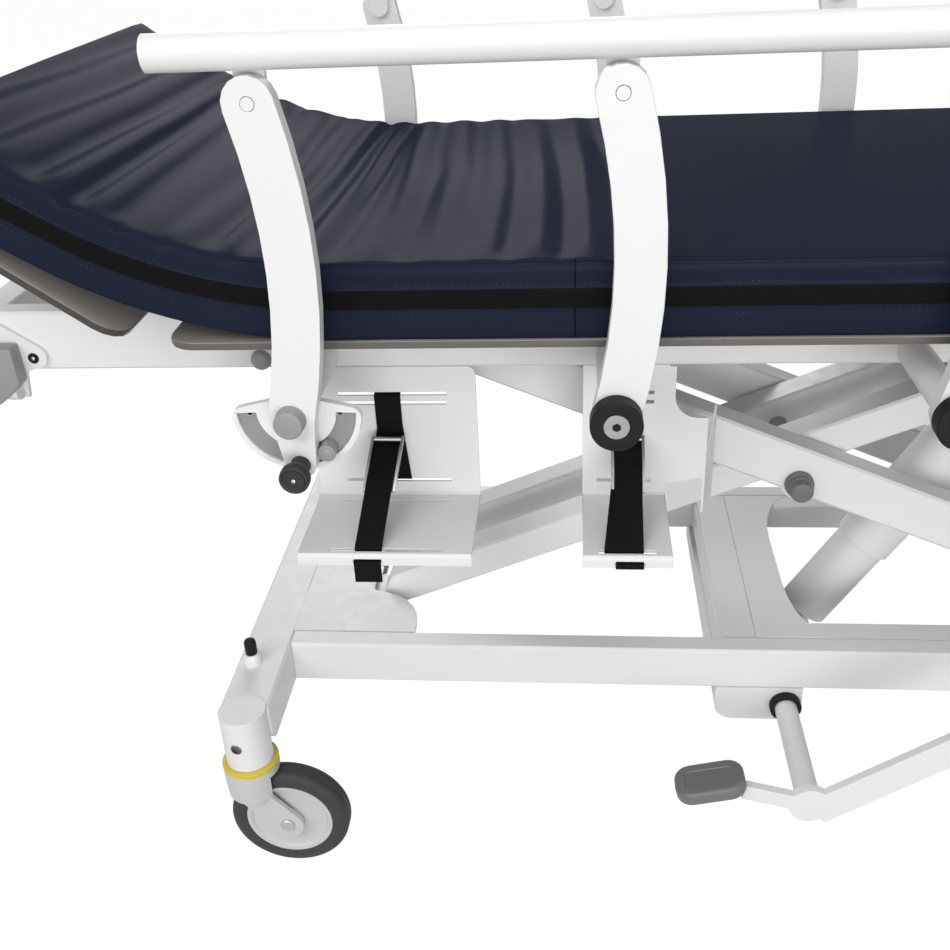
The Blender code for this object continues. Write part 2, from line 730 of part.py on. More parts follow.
def cam_saddle():
    """The block between the inner arms that the cylinder's roller lifts.

    Its underside follows the roller through the lift's travel, seen from the arms.
    """
    foot = Vector((CYLINDER_FOOT_X, BASE_TOP - CYLINDER_FOOT_DROP))
    head = Vector((CYLINDER_HEAD_X, BASE_TOP + CYLINDER_HEAD_RISE))
    pivot = Vector((-LIFT_HALF_SPAN, LOWER_PIVOT_Z))
    rest_length = (head - foot).length
    rest_angle = math.atan2(head.y - foot.y, head.x - foot.x)
    path = []
    for step in range(CAM_STEPS + 1):
        lift = LIFT_TRAVEL * (2 * step / CAM_STEPS - 1)
        length = rest_length + CYLINDER_STROKE_RATIO * lift
        angle = rest_angle + CYLINDER_TURN_RATIO * lift
        roller = foot + length * Vector((math.cos(angle), math.sin(angle))) - pivot
        arm = LIFT_ANGLE + lift
        along = roller.x * math.cos(arm) + roller.y * math.sin(arm)
        above = -roller.x * math.sin(arm) + roller.y * math.cos(arm)
        path.append(Vector((along, above)))
    surface = []
    for before, here, after in zip(path[:1] + path, path, path[1:] + path[-1:]):
        run = (after - before).normalized()
        if run.x < 0:
            run = -run
        normal = Vector((-run.y, run.x))
        surface.append(here + normal * (ROD_ROLLER_RADIUS + RUN))
    surface.sort(key=lambda point: point.x)
    first = surface[0] - (surface[1] - surface[0]).normalized() * CAM_RUN_OUT
    last = surface[-1] + (surface[-1] - surface[-2]).normalized() * CAM_RUN_OUT
    under = [first] + surface + [last]
    top = ARM_RISE
    outline = [(point.x, point.y) for point in under]
    outline += [(last.x, top), (first.x, top)]
    reach = INNER_ARM_OFFSET - INNER_ARM_WIDTH / 2 + RUN
    return prism(outline, "Y", -reach, reach)


def inner_frame(lift):
    """The inner arms, rising to the foot end, with the bosses and ties welded to them."""
    length = 2 * HALF_ARM
    right, left = arm_pair(INNER_ARM_OFFSET, INNER_ARM_WIDTH, INNER_ARM_HEIGHT, 0.0, length)
    tie_reach = INNER_ARM_OFFSET
    joins = [left, cam_saddle()]
    for x in (TIE_FROM_END, length - TIE_FROM_END):
        joins.append(cross_rod(TIE_RADIUS, x, ARM_RISE, -tie_reach, tie_reach))
    cuts = []
    for x in (0.0, HALF_ARM, length):
        joins += boss_pair(INNER_ARM_OFFSET, INNER_ARM_WIDTH, x)
        cuts.append(cross_rod(SHAFT_RADIUS + RUN, x, 0.0, -0.3, 0.3))
    piece("inner_scissor_frame", right, WHITE, lift, joins, cuts)
    roller_shaft("upper_roller_shaft", lift, (length, 0.0, 0.0), BEAM_INNER)


def roller_shaft(name, parent, place, inner_face):
    """A shaft with a roller at each end, turned in one piece."""
    tip = inner_face - RUN
    neck = tip - ROLLER_WIDTH
    profile = [(0.004, tip), (ROLLER_RADIUS, tip), (ROLLER_RADIUS, neck)]
    profile += [(SHAFT_RADIUS, neck), (SHAFT_RADIUS, -neck)]
    profile += [(ROLLER_RADIUS, -neck), (ROLLER_RADIUS, -tip), (0.004, -tip)]
    turned(name, profile, STEEL, parent, place, (math.pi / 2, 0, 0), 20)


def outer_frame(cross):
    """The outer arms, falling to the foot end, with the ties clear of the inner arms."""
    right, left = arm_pair(
        OUTER_ARM_OFFSET, OUTER_ARM_WIDTH, OUTER_ARM_HEIGHT, -HALF_ARM, HALF_ARM
    )
    joins = [left]
    cuts = []
    for x in (-HALF_ARM + TIE_FROM_END, HALF_ARM - TIE_FROM_END):
        joins.append(cross_rod(TIE_RADIUS, x, ARM_RISE, -OUTER_ARM_OFFSET, OUTER_ARM_OFFSET))
    for x in (-HALF_ARM, 0.0, HALF_ARM):
        joins += boss_pair(OUTER_ARM_OFFSET, OUTER_ARM_WIDTH, x)
        cuts.append(cross_rod(SHAFT_RADIUS + RUN, x, 0.0, -0.3, 0.3))
    piece("outer_scissor_frame", right, WHITE, cross, joins, cuts)
    roller_shaft("lower_roller_shaft", cross, (HALF_ARM, 0.0, 0.0), BASE_INNER)
    face = OUTER_ARM_OFFSET + OUTER_ARM_WIDTH / 2
    shaft = cross_rod(SHAFT_RADIUS, 0.0, 0.0, -face, face)
    piece("centre_pivot_shaft", shaft, STEEL, cross)
    for side_name, side in SIDES:
        seat = side * (face + GAP)
        steps = []
        for number, radius in enumerate(PIVOT_CAP_RADII, 1):
            end = seat + side * PIVOT_CAP_HEIGHT * number / len(PIVOT_CAP_RADII)
            steps.append(rod(radius, (0, seat + side * RUN * (number - 1), 0), (0, end, 0), 24))
        piece(f"pivot_cap_{side_name}", steps[0], GREY, cross, steps[1:])


def cylinder(swing):
    """The hydraulic cylinder, along +X of its own swinging axis."""
    eye = CYLINDER_EYE_RADIUS
    half_eye = CYLINDER_EYE_WIDTH / 2
    shoulder = CYLINDER_LENGTH - GLAND_LENGTH
    barrel = rod(CYLINDER_RADIUS, (eye * 1.3, 0, 0), (shoulder, 0, 0), 24)
    pin_reach = half_eye + LUG_THICKNESS + RUN
    joins = [
        rod(GLAND_RADIUS, (shoulder - eye, 0, 0), (CYLINDER_LENGTH, 0, 0), 20),
        cross_rod(eye, 0, 0, -half_eye, half_eye),
        box((0, -half_eye * 0.8, -eye * 0.8), (eye * 2, half_eye * 0.8, eye * 0.8)),
        cross_rod(CYLINDER_PIN_RADIUS, 0, 0, -pin_reach, pin_reach, 16),
    ]
    bore_start = (CYLINDER_BORE_START, 0, 0)
    cuts = [rod(ROD_RADIUS + RUN, bore_start, (CYLINDER_LENGTH + 0.01, 0, 0), 24)]
    piece("lift_cylinder", barrel, WHITE, swing, joins, cuts)


def ring_about_x(radius, x, sides=20):
    return [(x, y, z) for y, z in arc((0.0, 0.0), radius, 0, 360, sides)[:-1]]


def piston_rod(slide):
    """The rod under the roller that carries the inner arms, and its sleeve over the cylinder."""
    inner = CYLINDER_RADIUS + 3 * RUN
    neck = GLAND_RADIUS + 2 * RUN
    wall = SLEEVE_WALL
    top = -SLEEVE_BELOW_ROLLER
    end = top - SLEEVE_LENGTH
    neck_top = top + SLEEVE_NECK
    under = top - wall - RUN
    outside = [(inner + wall, end), (inner + wall, top), (neck + wall, neck_top)]
    inside = [(inner, end - wall), (inner, under), (neck, neck_top - 2 * wall)]
    sleeve = loft([ring_about_x(radius, x) for radius, x in outside])
    hollow = loft([ring_about_x(radius, x) for radius, x in inside])
    shaft = rod(ROD_RADIUS, (-ROD_LENGTH, 0, 0), (0, 0, 0), 24)
    half = ROD_ROLLER_WIDTH / 2
    roller = cross_rod(ROD_ROLLER_RADIUS, 0, 0, -half, half, 24)
    piece("piston_rod", sleeve, STEEL, slide, (), [hollow], [shaft, roller])


# Pump pedal
def along_arm(angle, points):
    """Points given along and across an arm, turned to the arm's angle."""
    c = math.cos(angle)
    s = math.sin(angle)
    return [(u * c - v * s, u * s + v * c) for u, v in points]


def pump_pedal(pedal):
    """The shaft out of the pump with a rocker: one arm pumps, the other lets the platform down."""
    near = -PEDAL_PLANE
    far = near - PEDAL_THICKNESS
    seat = -(BASE_WIDTH / 2 - RUN) + PEDAL_SHAFT_SEAT - RUN
    shaft = cross_rod(PEDAL_SHAFT_RADIUS, 0, 0, near - PEDAL_THICKNESS / 2, seat, 24)
    pump = [(0, -PUMP_ARM_BELOW), (PUMP_ARM_LENGTH, -PUMP_ARM_BELOW)]
    pump += [(PUMP_ARM_LENGTH, PUMP_ARM_ABOVE), (0, PUMP_ARM_ABOVE)]
    half = RELEASE_ARM_HALF
    release = [(0, -half), (-RELEASE_ARM_LENGTH, -half), (-RELEASE_ARM_LENGTH, half), (0, half)]
    joins = [
        cross_rod(PEDAL_HUB_RADIUS, 0, 0, far, near + 0.001, 24),
        prism(along_arm(PUMP_ARM_ANGLE, pump), "Y", far, near),
        prism(along_arm(-RELEASE_ARM_ANGLE, release), "Y", far, near),
    ]
    piece("pump_pedal", shaft, WHITE, pedal, joins)
    middle = (near + far) / 2
    pad_low = middle - PAD_WIDTH / 2
    pad_high = middle + PAD_WIDTH / 2
    half_pad = PAD_THICKNESS / 2
    pump_start = PUMP_ARM_LENGTH + GAP
    centre = (PUMP_ARM_ABOVE - PUMP_ARM_BELOW) / 2
    for name, angle, start, end, v in (
        ("pedal_pad_pump", PUMP_ARM_ANGLE, pump_start, pump_start + PAD_LENGTH, centre),
        (
            "pedal_pad_release",
            -RELEASE_ARM_ANGLE,
            -RELEASE_ARM_LENGTH - GAP - PAD_LENGTH,
            -RELEASE_ARM_LENGTH - GAP,
            0.0,
        ),
    ):
        outline = rounded_rectangle((start, v - half_pad), (end, v + half_pad), 0.006, 3)
        pad = prism(along_arm(angle, outline), "Y", pad_low, pad_high)
        piece(name, pad, GREY, pedal)


# Upper frame
def rail_pivots():
    return [RAIL_FIRST_X + RAIL_SPACING * number for number in range(RAIL_ARM_COUNT)]


def frame_beam(side_name, side, frame):
    """A side beam with the bosses, pins and discs that its side rail turns on."""
    outer = side * BEAM_OUTER
    inner = side * BEAM_INNER
    beam = box(
        (-BEAM_HALF, min(outer, inner), BEAM_BOTTOM), (BEAM_HALF, max(outer, inner), BEAM_TOP), "X"
    )
    joins = []
    for number, x in enumerate(rail_pivots()):
        z = RAIL_PIVOT_Z
        radius = RAIL_DISC_RADIUS if number else RAIL_CAP_RADIUS
        thickness = RAIL_DISC_THICKNESS if number else RAIL_CAP_THICKNESS
        root = outer - side * HOLDER_RECESS / 2
        boss_end = side * RAIL_BOSS_END
        disc_start = side * (RAIL_ARM_OUTER + RUN)
        disc_end = disc_start + side * thickness
        joins.append(rod(RAIL_BOSS_RADIUS, (x, root, z), (x, boss_end, z), 24))
        joins.append(rod(RAIL_PIN_RADIUS, (x, boss_end - side * 0.01, z), (x, disc_end, z), 20))
        joins.append(rod(radius, (x, disc_start, z), (x, disc_end, z), 24))
    start_x = LIFT_HALF_SPAN - TRACK_LENGTH / 2
    end_x = LIFT_HALF_SPAN + TRACK_LENGTH / 2
    joins += track_ledges(side, BEAM_INNER, UPPER_PIVOT_Z, start_x, end_x)
    piece(f"frame_beam_{side_name}", beam, WHITE, frame, joins)


def frame_cross_tubes(frame):
    reach = BEAM_INNER - GAP
    half = CROSS_TUBE_WIDTH / 2
    end_x = PLATFORM_HALF - CROSS_TUBE_INSET
    top = BEAM_TOP - HEAD_HINGE_RADIUS
    for name, x in (("head", -end_x), ("hinge", HINGE_CROSS_X), ("foot", end_x)):
        shape = box((x - half, -reach, top - CROSS_TUBE_HEIGHT), (x + half, reach, top), "Y")
        piece(f"frame_cross_{name}", shape, WHITE, frame)


def upper_pivot_shaft(frame):
    reach = BEAM_INNER - GAP
    shape = cross_rod(SHAFT_RADIUS, -LIFT_HALF_SPAN, UPPER_PIVOT_Z, -reach, reach)
    piece("upper_pivot_shaft", shape, STEEL, frame)


def main_panel(frame):
    half = PANEL_WIDTH / 2
    outline = rounded_rectangle((MAIN_PANEL_HEAD_X, -half), (PLATFORM_HALF, half), PANEL_CORNER)
    shape = prism(outline, "Z", PANEL_BOTTOM, PANEL_BOTTOM + PANEL_THICKNESS)
    piece("main_panel", shape, LAMINATE, frame)


# Head section
def head_section(hinge):
    """The head panel and the bars under it, level along -X of the hinge before it is raised."""
    half = PANEL_WIDTH / 2
    low = HEAD_HINGE_RADIUS + GAP
    outline = rounded_rectangle((-HEAD_PANEL_END, -half), (-HEAD_PANEL_START, half), PANEL_CORNER)
    piece("head_panel", prism(outline, "Z", low, low + PANEL_THICKNESS), LAMINATE, hinge)
    reach = BEAM_INNER - GAP
    tube = cross_rod(HEAD_HINGE_RADIUS, 0, 0, -reach, reach, 24)
    bars = []
    for _, side in SIDES:
        near = side * HEAD_BAR_OFFSET - HEAD_BAR_WIDTH / 2
        top = HEAD_HINGE_RADIUS - GAP / 2
        low_corner = (-HEAD_BAR_LENGTH, near, top - HEAD_BAR_DEPTH)
        bars.append(box(low_corner, (0.0, near + HEAD_BAR_WIDTH, top)))
    piece("head_hinge_frame", tube, WHITE, hinge, bars)


# Mattress
def mattress_ring(fade):
    """The outline across the mattress, flat below, crowned above and drawn in at the sides.

    fade is 1 in the middle of the mattress and falls to 0 at its ends.
    """
    half = MATTRESS_WIDTH / 2
    edge = MATTRESS_EDGE
    top = MATTRESS_THICKNESS - MATTRESS_CROWN
    draw = MATTRESS_DRAW_IN * fade
    points = [(-half + edge, 0.0), (-half / 2, 0.0), (0.0, 0.0), (half / 2, 0.0), (half - edge, 0.0)]
    points += [(half, edge), (half - draw, top / 2), (half, top - edge / 2), (half - edge, top)]
    for share in (0.7, 0.35, 0.0, -0.35, -0.7):
        points.append((share * half, top + MATTRESS_CROWN * fade * (1 - share * share)))
    points += [(-half + edge, top), (-half, top - edge / 2), (-half + draw, top / 2), (-half, edge)]
    return points


def shrunk(ring, factor):
    middle = MATTRESS_THICKNESS / 2
    half = MATTRESS_WIDTH / 2
    inset = half * (1 - factor)
    squeeze = (half - inset) / half
    return [(y * squeeze, middle + (z - middle) * (1 - inset / middle)) for y, z in ring]


def mattress_block(start, end, bottom, round_start, round_end):
    """A straight stretch of mattress from one X to another."""
    length = end - start
    rings = []
    steps = 8
    if round_start:
        ring = shrunk(mattress_ring(0.3), 1 - MATTRESS_EDGE / MATTRESS_WIDTH)
        rings.append([(start, y, z + bottom) for y, z in ring])
    inset_start = MATTRESS_EDGE if round_start else 0.0
    inset_end = MATTRESS_EDGE if round_end else 0.0
    for step in range(steps + 1):
        share = step / steps
        x = start + inset_start + (length - inset_start - inset_end) * share
        fade = 1.0
        if round_start:
            fade = min(fade, 0.3 + 4 * share)
        if round_end:
            fade = min(fade, 0.3 + 4 * (1 - share))
        rings.append([(x, y, z + bottom) for y, z in mattress_ring(fade)])
    if round_end:
        ring = shrunk(mattress_ring(0.3), 1 - MATTRESS_EDGE / MATTRESS_WIDTH)
        rings.append([(end, y, z + bottom) for y, z in ring])
    return loft(rings)


def mattress_bend():
    """The stretch that bends over the head hinge, from level to the head section's slope."""
    rise = HEAD_HINGE_RADIUS + PANEL_THICKNESS + 2 * GAP
    c = math.cos(HEAD_RAISED)
    s = math.sin(HEAD_RAISED)
    start = Vector((MATTRESS_BEND_X - GAP, MATTRESS_BOTTOM))
    back = -MATTRESS_HEAD_START + GAP
    end = Vector((HEAD_HINGE_X + back * c + rise * s, HEAD_HINGE_Z - back * s + rise * c))
    corner_x = end.x + (end.y - start.y) / math.tan(HEAD_RAISED)
    corner = Vector((corner_x, start.y))
    rings = []
    steps = 8
    for step in range(steps + 1):
        t = step / steps
        point = start * (1 - t) ** 2 + corner * 2 * t * (1 - t) + end * t * t
        run = (corner - start) * (1 - t) + (end - corner) * t
        angle = math.atan2(run.y, -run.x)
        ring = []
        for y, z in mattress_ring(1.0):
            ring.append((point.x + z * math.sin(angle), y, point.y + z * math.cos(angle)))
        rings.append(ring)
    return loft(rings)


def mattress(frame, hinge):
    foot = PLATFORM_HALF - MATTRESS_FOOT_INSET
    main = mattress_block(MATTRESS_BEND_X, foot, MATTRESS_BOTTOM, False, True)
    piece("mattress_main", main, NAVY, frame)
    piece("mattress_bend", mattress_bend(), NAVY, frame)
    rise = HEAD_HINGE_RADIUS + PANEL_THICKNESS + 2 * GAP
    head = mattress_block(-MATTRESS_HEAD_END, -MATTRESS_HEAD_START, rise, True, False)
    piece("mattress_head", head, NAVY, hinge)


# Side rails
def arm_centre(share):
    """A point on the bowed middle line of a rail arm, from its lower to its upper pivot."""
    bow = 4 * RAIL_ARM_BULGE * share * (1 - share)
    return Vector((bow, RAIL_ARM_LENGTH * share))


def rail_arm_outline(with_tail):
    half = RAIL_ARM_WIDTH / 2
    steps = 8
    right = []
    left = []
    for step in range(steps + 1):
        share = step / steps
        slope = 4 * RAIL_ARM_BULGE * (1 - 2 * share)
        run = Vector((slope, RAIL_ARM_LENGTH)).normalized()
        across = Vector((run.y, -run.x)) * half
        right.append(tuple(arm_centre(share) + across))
        left.append(tuple(arm_centre(share) - across))
    lean = math.degrees(math.atan2(4 * RAIL_ARM_BULGE, RAIL_ARM_LENGTH))
    outline = right + arc((0.0, RAIL_ARM_LENGTH), half, lean, 180 + lean, 8)[1:-1] + left[::-1]
    if with_tail:
        tip = (LOCK_RADIUS * math.cos(LOCK_ANGLE), LOCK_RADIUS * math.sin(LOCK_ANGLE))
        outline += arc(tip, PLUNGER_TAIL_RADIUS, 190, 350, 6)
    else:
        outline += arc((0.0, 0.0), half, 180 - lean, 360 - lean, 8)[1:-1]
    return outline


def rail_arm(name, with_tail, parent, side):
    lower = arc((0.0, 0.0), RAIL_PIN_RADIUS + RUN, 0, 360, 20)[:-1]
    upper = arc((0.0, RAIL_ARM_LENGTH), RAIL_TOP_PIN_RADIUS + RUN, 0, 360, 16)[:-1]
    loops = [rail_arm_outline(with_tail), lower, upper]
    if with_tail:
        tip = (LOCK_RADIUS * math.cos(LOCK_ANGLE), LOCK_RADIUS * math.sin(LOCK_ANGLE))
        loops.append(arc(tip, PLUNGER_PIN_RADIUS + RUN, 0, 360, 16)[:-1])
    place = (0.0, side * RAIL_ARM_PLANE, 0.0)
    plate(name, loops, RAIL_ARM_THICKNESS, WHITE, parent, place, True)


def lock_quadrant(name, side, parent, x):
    """The plate behind the first arm: a track for the plunger's tip, and the peg that stops the arm."""
    radius = QUADRANT_RADIUS
    round_off = QUADRANT_CORNER
    corner_start = 8
    corner_x = (radius - round_off) * math.cos(math.radians(corner_start))
    corner_z = -(radius - round_off) * math.sin(math.radians(corner_start))
    outline = arc((0.0, 0.0), radius, corner_start - 180, -corner_start, 16)
    outline += arc((corner_x, corner_z), round_off, -corner_start, 80, 5)[1:]
    outline += [(radius * 0.4, QUADRANT_TOP)]
    notch = RAIL_BOSS_RADIUS + GAP
    mouth = math.degrees(math.asin(QUADRANT_TOP / notch))
    outline += arc((0.0, 0.0), notch, mouth, -180 - mouth, 16)
    outline += [(-radius * 0.4, QUADRANT_TOP)]
    outline += arc((-corner_x, corner_z), round_off, 100, 180 + corner_start, 5)[:-1]
    track = arc((0.0, 0.0), TRACK_OUTER_RADIUS, -178, -2, 16)
    track += arc((0.0, 0.0), TRACK_INNER_RADIUS, -2, -178, 14)
    face = side * (RAIL_BOSS_END - GAP)
    back = face - side * QUADRANT_THICKNESS
    floor = face - side * TRACK_DEPTH
    peg_x = x + LOCK_RADIUS * math.cos(STOP_PEG_ANGLE)
    peg_z = RAIL_PIVOT_Z + LOCK_RADIUS * math.sin(STOP_PEG_ANGLE)
    peg_root = (peg_x, floor - side * RUN, peg_z)
    peg_end = (peg_x, side * (RAIL_ARM_INNER + RAIL_ARM_THICKNESS * 0.7), peg_z)

    def standing(points, one, other):
        placed = [(x + a, RAIL_PIVOT_Z + b) for a, b in points]
        return prism(placed, "Y", min(one, other), max(one, other))

    body = standing(outline, face, back)
    cuts = [standing(track, floor, face + side * TRACK_DEPTH)]
    piece(name, body, WHITE, parent, (), cuts, [rod(STOP_PEG_RADIUS, peg_root, peg_end, 16)])


def top_rail(name, parent, side):
    """The rail's tube with a lug and pin for each arm, measured from the first arm's top pivot."""
    y = side * RAIL_ARM_PLANE
    first = -RAIL_TUBE_OVERHANG
    last = RAIL_SPACING * (RAIL_ARM_COUNT - 1) + RAIL_TUBE_OVERHANG
    tube = rod(RAIL_TUBE_RADIUS, (first, y, RAIL_TUBE_RISE), (last, y, RAIL_TUBE_RISE), 24)
    joins = []
    lug_face = side * (RAIL_ARM_INNER - RUN)
    lug_back = lug_face - side * RAIL_LUG_THICKNESS
    for number in range(RAIL_ARM_COUNT):
        x = RAIL_SPACING * number
        ear = [(x + RAIL_LUG_RADIUS, RAIL_TUBE_RISE), (x - RAIL_LUG_RADIUS, RAIL_TUBE_RISE)]
        ear += arc((x, 0.0), RAIL_LUG_RADIUS, 180, 360, 8)
        joins.append(prism(ear, "Y", min(lug_face, lug_back), max(lug_face, lug_back)))
        pin_start = (x, lug_back + side * 0.001, 0.0)
        pin_end = (x, side * RAIL_ARM_OUTER, 0.0)
        joins.append(rod(RAIL_TOP_PIN_RADIUS, pin_start, pin_end, 16))
    piece(name, tube, WHITE, parent, joins)


def plunger(name, parent, side):
    """The spring plunger's knob and pin, along Y from its own axis."""
    tip = side * (RAIL_BOSS_END - TRACK_DEPTH + RUN)
    neck = side * (RAIL_ARM_OUTER + RUN)
    end = neck + side * PLUNGER_KNOB_LENGTH
    step = neck + side * PLUNGER_KNOB_LENGTH * 0.3
    pin = rod(PLUNGER_PIN_RADIUS, (0, tip, 0), (0, step, 0), 16)
    collar = rod(PLUNGER_KNOB_RADIUS * 0.6, (0, neck, 0), (0, step + side * 0.001, 0), 16)
    knob = rod(PLUNGER_KNOB_RADIUS, (0, step, 0), (0, end, 0), 20)
    piece(name, pin, BLACK, parent, [collar, knob])


def side_rail(side_name, side, frame):
    pivots = rail_pivots()
    first = None
    for number, x in enumerate(pivots, 1):
        arm_axis = axis_empty(f"rail_axis_{side_name}_{number}", (0, 0, 0))
        arm_axis.location = (x, 0.0, RAIL_PIVOT_Z)
        hang(arm_axis, frame)
        rail_arm(f"rail_arm_{side_name}_{number}", number == 1, arm_axis, side)
        if number == 1:
            first = arm_axis
    rail_axis = axis_empty(f"top_rail_axis_{side_name}", (0, 0, RAIL_ARM_LENGTH), first)
    top_rail(f"top_rail_{side_name}", rail_axis, side)
    tip_x = LOCK_RADIUS * math.cos(LOCK_ANGLE)
    tip_z = LOCK_RADIUS * math.sin(LOCK_ANGLE)
    plunger_axis = axis_empty(f"plunger_axis_{side_name}", (tip_x, 0, tip_z), first)
    plunger(f"lock_plunger_{side_name}", plunger_axis, side)
    lock_quadrant(f"lock_quadrant_{side_name}", side, frame, pivots[0])


# Bottle holders
def holder_profile():
    """The bent sheet seen from its end: back, shelf and down-turned lip."""
    front = -HOLDER_FRONT
    back = front + SHEET
    lip = -HOLDER_LIP_Y
    shelf = HOLDER_SHELF_Z
    under = shelf - SHEET
    top = BEAM_BOTTOM - GAP
    outline = [(back, top), (front, top), (front, shelf + SHEET), (front - SHEET, shelf)]
    outline += [(lip + SHEET, shelf), (lip, under), (lip, shelf - HOLDER_LIP)]
    outline += [(lip + SHEET, shelf - HOLDER_LIP), (lip + SHEET, under), (front, under), (back, shelf)]
    return outline


def holder_slots(low_x, high_x, strap_x):
    """Slots for the strap: in the back, along both edges of the shelf, and in the lip."""
    half = min(SLOT_LENGTH, (high_x - low_x) * 0.65) / 2
    middle = (low_x + high_x) / 2
    front = -HOLDER_FRONT - 0.002
    back = -HOLDER_FRONT + SHEET + 0.002
    cuts = []
    upper = BEAM_BOTTOM - UPPER_SLOT_DROP
    lower = HOLDER_SHELF_Z + LOWER_SLOT_RISE
    for z in (upper, upper - UPPER_SLOT_SPACING, lower):
        low = (middle - half, front, z - NARROW_SLOT / 2)
        cuts.append(box(low, (middle + half, back, z + NARROW_SLOT / 2)))
    rear = -HOLDER_FRONT - SHELF_SLOT_INSET
    fore = -HOLDER_LIP_Y + FRONT_SLOT_INSET
    for y, width in ((rear, NARROW_SLOT), (fore, FRONT_SLOT_WIDTH)):
        low = (middle - half, y - width / 2, HOLDER_SHELF_Z - 2 * SHEET)
        cuts.append(box(low, (middle + half, y + width / 2, HOLDER_SHELF_Z + SHEET)))
    reach = STRAP_WIDTH / 2 + 2 * RUN
    z = HOLDER_SHELF_Z - LIP_SLOT_DROP
    low = (strap_x - reach, -HOLDER_LIP_Y - SHEET, z - NARROW_SLOT / 2)
    cuts.append(box(low, (strap_x + reach, -HOLDER_LIP_Y + 2 * SHEET, z + NARROW_SLOT / 2)))
    return cuts


def corner_cut(x, z, radius):
    """What is cut off the back sheet's top corner on the +X side to round it."""
    outline = [(x + radius, z + radius), (x - radius, z + radius)]
    outline += arc((x - radius, z - radius), radius, 90, 0, 5)
    outline += [(x + radius, z - radius)]
    return prism(outline, "Y", -HOLDER_FRONT - SHEET, -HOLDER_FRONT + 2 * SHEET)


def bottle_holders(frame):
    low, high = HEAD_HOLDER_X
    sheet = prism(holder_profile(), "X", low, high)
    cuts = holder_slots(low, high, HEAD_STRAP_X + HEAD_STRAP_LEAN)
    cuts.append(corner_cut(high, BEAM_BOTTOM - GAP, HOLDER_CORNER))
    piece("bottle_holder_head", sheet, WHITE, frame, (), cuts)
    low, high = FOOT_HOLDER_X
    sheet = prism(holder_profile(), "X", low, high)
    tab_end = high + FOOT_HOLDER_TAB
    front = -HOLDER_FRONT
    back = front + SHEET
    tab_low = HOLDER_SHELF_Z + 0.020
    tab_high = BEAM_BOTTOM - 0.065
    tab = [(high - 0.001, tab_low - 0.008), (tab_end - 0.012, tab_low), (tab_end, tab_low)]
    tab += [(tab_end, tab_high), (tab_end - 0.012, tab_high)]
    tab += arc((tab_end - 0.012, tab_high + 0.026), 0.026, 270, 180, 5)[1:]
    tab += [(tab_end - 0.038, BEAM_BOTTOM - 0.002), (high - 0.001, BEAM_BOTTOM - 0.002)]
    flange_end = front + FLANGE_DEPTH
    side_view = [(front, tab_low - 0.045), (flange_end, tab_low - 0.045)]
    side_view += [(flange_end, tab_high - 0.002), (front, tab_high - 0.002 - FLANGE_SLANT)]
    flange = prism(side_view, "X", tab_end - SHEET, tab_end)
    for vert in flange.verts:
        vert.co.x += FLANGE_SPLAY * (vert.co.y - front) / FLANGE_DEPTH
    joins = [prism(tab, "Y", front, back), flange]
    cuts = holder_slots(low, high, FOOT_STRAP_X + FOOT_STRAP_LEAN)
    piece("bottle_holder_foot", sheet, WHITE, frame, joins, cuts)


def ribbon_outline(path, thickness):
    """A strip of even thickness along a path."""
    points = [Vector(point) for point in path]
    one = []
    other = []
    for before, here, after in zip(points[:1] + points, points, points[1:] + points[-1:]):
        come = (here - before).normalized() if here != before else (after - here).normalized()
        leave = (after - here).normalized() if after != here else come
        run = (come + leave).normalized()
        stretch = thickness / 2 / max(run.dot(leave), 0.5)
        across = Vector((-run.y, run.x)) * stretch
        one.append(tuple(here + across))
        other.append(tuple(here - across))
    return one + other[::-1]


def strap_line():
    """Where a strap leaves the holder's back, and its run from there to the front slot."""
    lift = 2 * RUN + STRAP_THICKNESS / 2
    leave = Vector((-HOLDER_FRONT - lift, BEAM_BOTTOM - STRAP_LEAVES_BACK))
    slot = Vector((-HOLDER_LIP_Y + FRONT_SLOT_INSET, HOLDER_SHELF_Z))
    return leave, slot


def leaned(bm, lean):
    """Shift a strap's shape sideways by a growing share on its way down to the front slot."""
    leave, slot = strap_line()
    for vert in bm.verts:
        share = (leave.y - vert.co.z) / (leave.y - slot.y)
        vert.co.x += lean * min(max(share, 0.0), 1.0)
    bmesh.ops.triangulate(bm, faces=[face for face in bm.faces if len(face.verts) > 4])
    return bm


def strap(name, centre_x, lean, tail, frame):
    """Webbing out of the back's slot, slanting to the front slot and out through the lip."""
    leave, slot = strap_line()
    thick = STRAP_THICKNESS
    lip_z = HOLDER_SHELF_Z - LIP_SLOT_DROP
    outside = -HOLDER_LIP_Y - 2 * RUN - thick / 2
    path = [
        (leave.x, BEAM_BOTTOM - UPPER_SLOT_DROP),
        tuple(leave),
        (slot.x + thick / 2, slot.y + thick),
        (slot.x, slot.y - SHEET),
        (slot.x - thick, lip_z + thick / 4),
        (outside + thick / 2, lip_z),
        (outside, lip_z - thick),
        (outside, HOLDER_SHELF_Z - tail),
    ]
    half = STRAP_WIDTH / 2
    outline = ribbon_outline(path, thick)
    shape = prism(outline, "X", centre_x - half, centre_x + half)
    piece(name, leaned(shape, lean), WEBBING, frame)


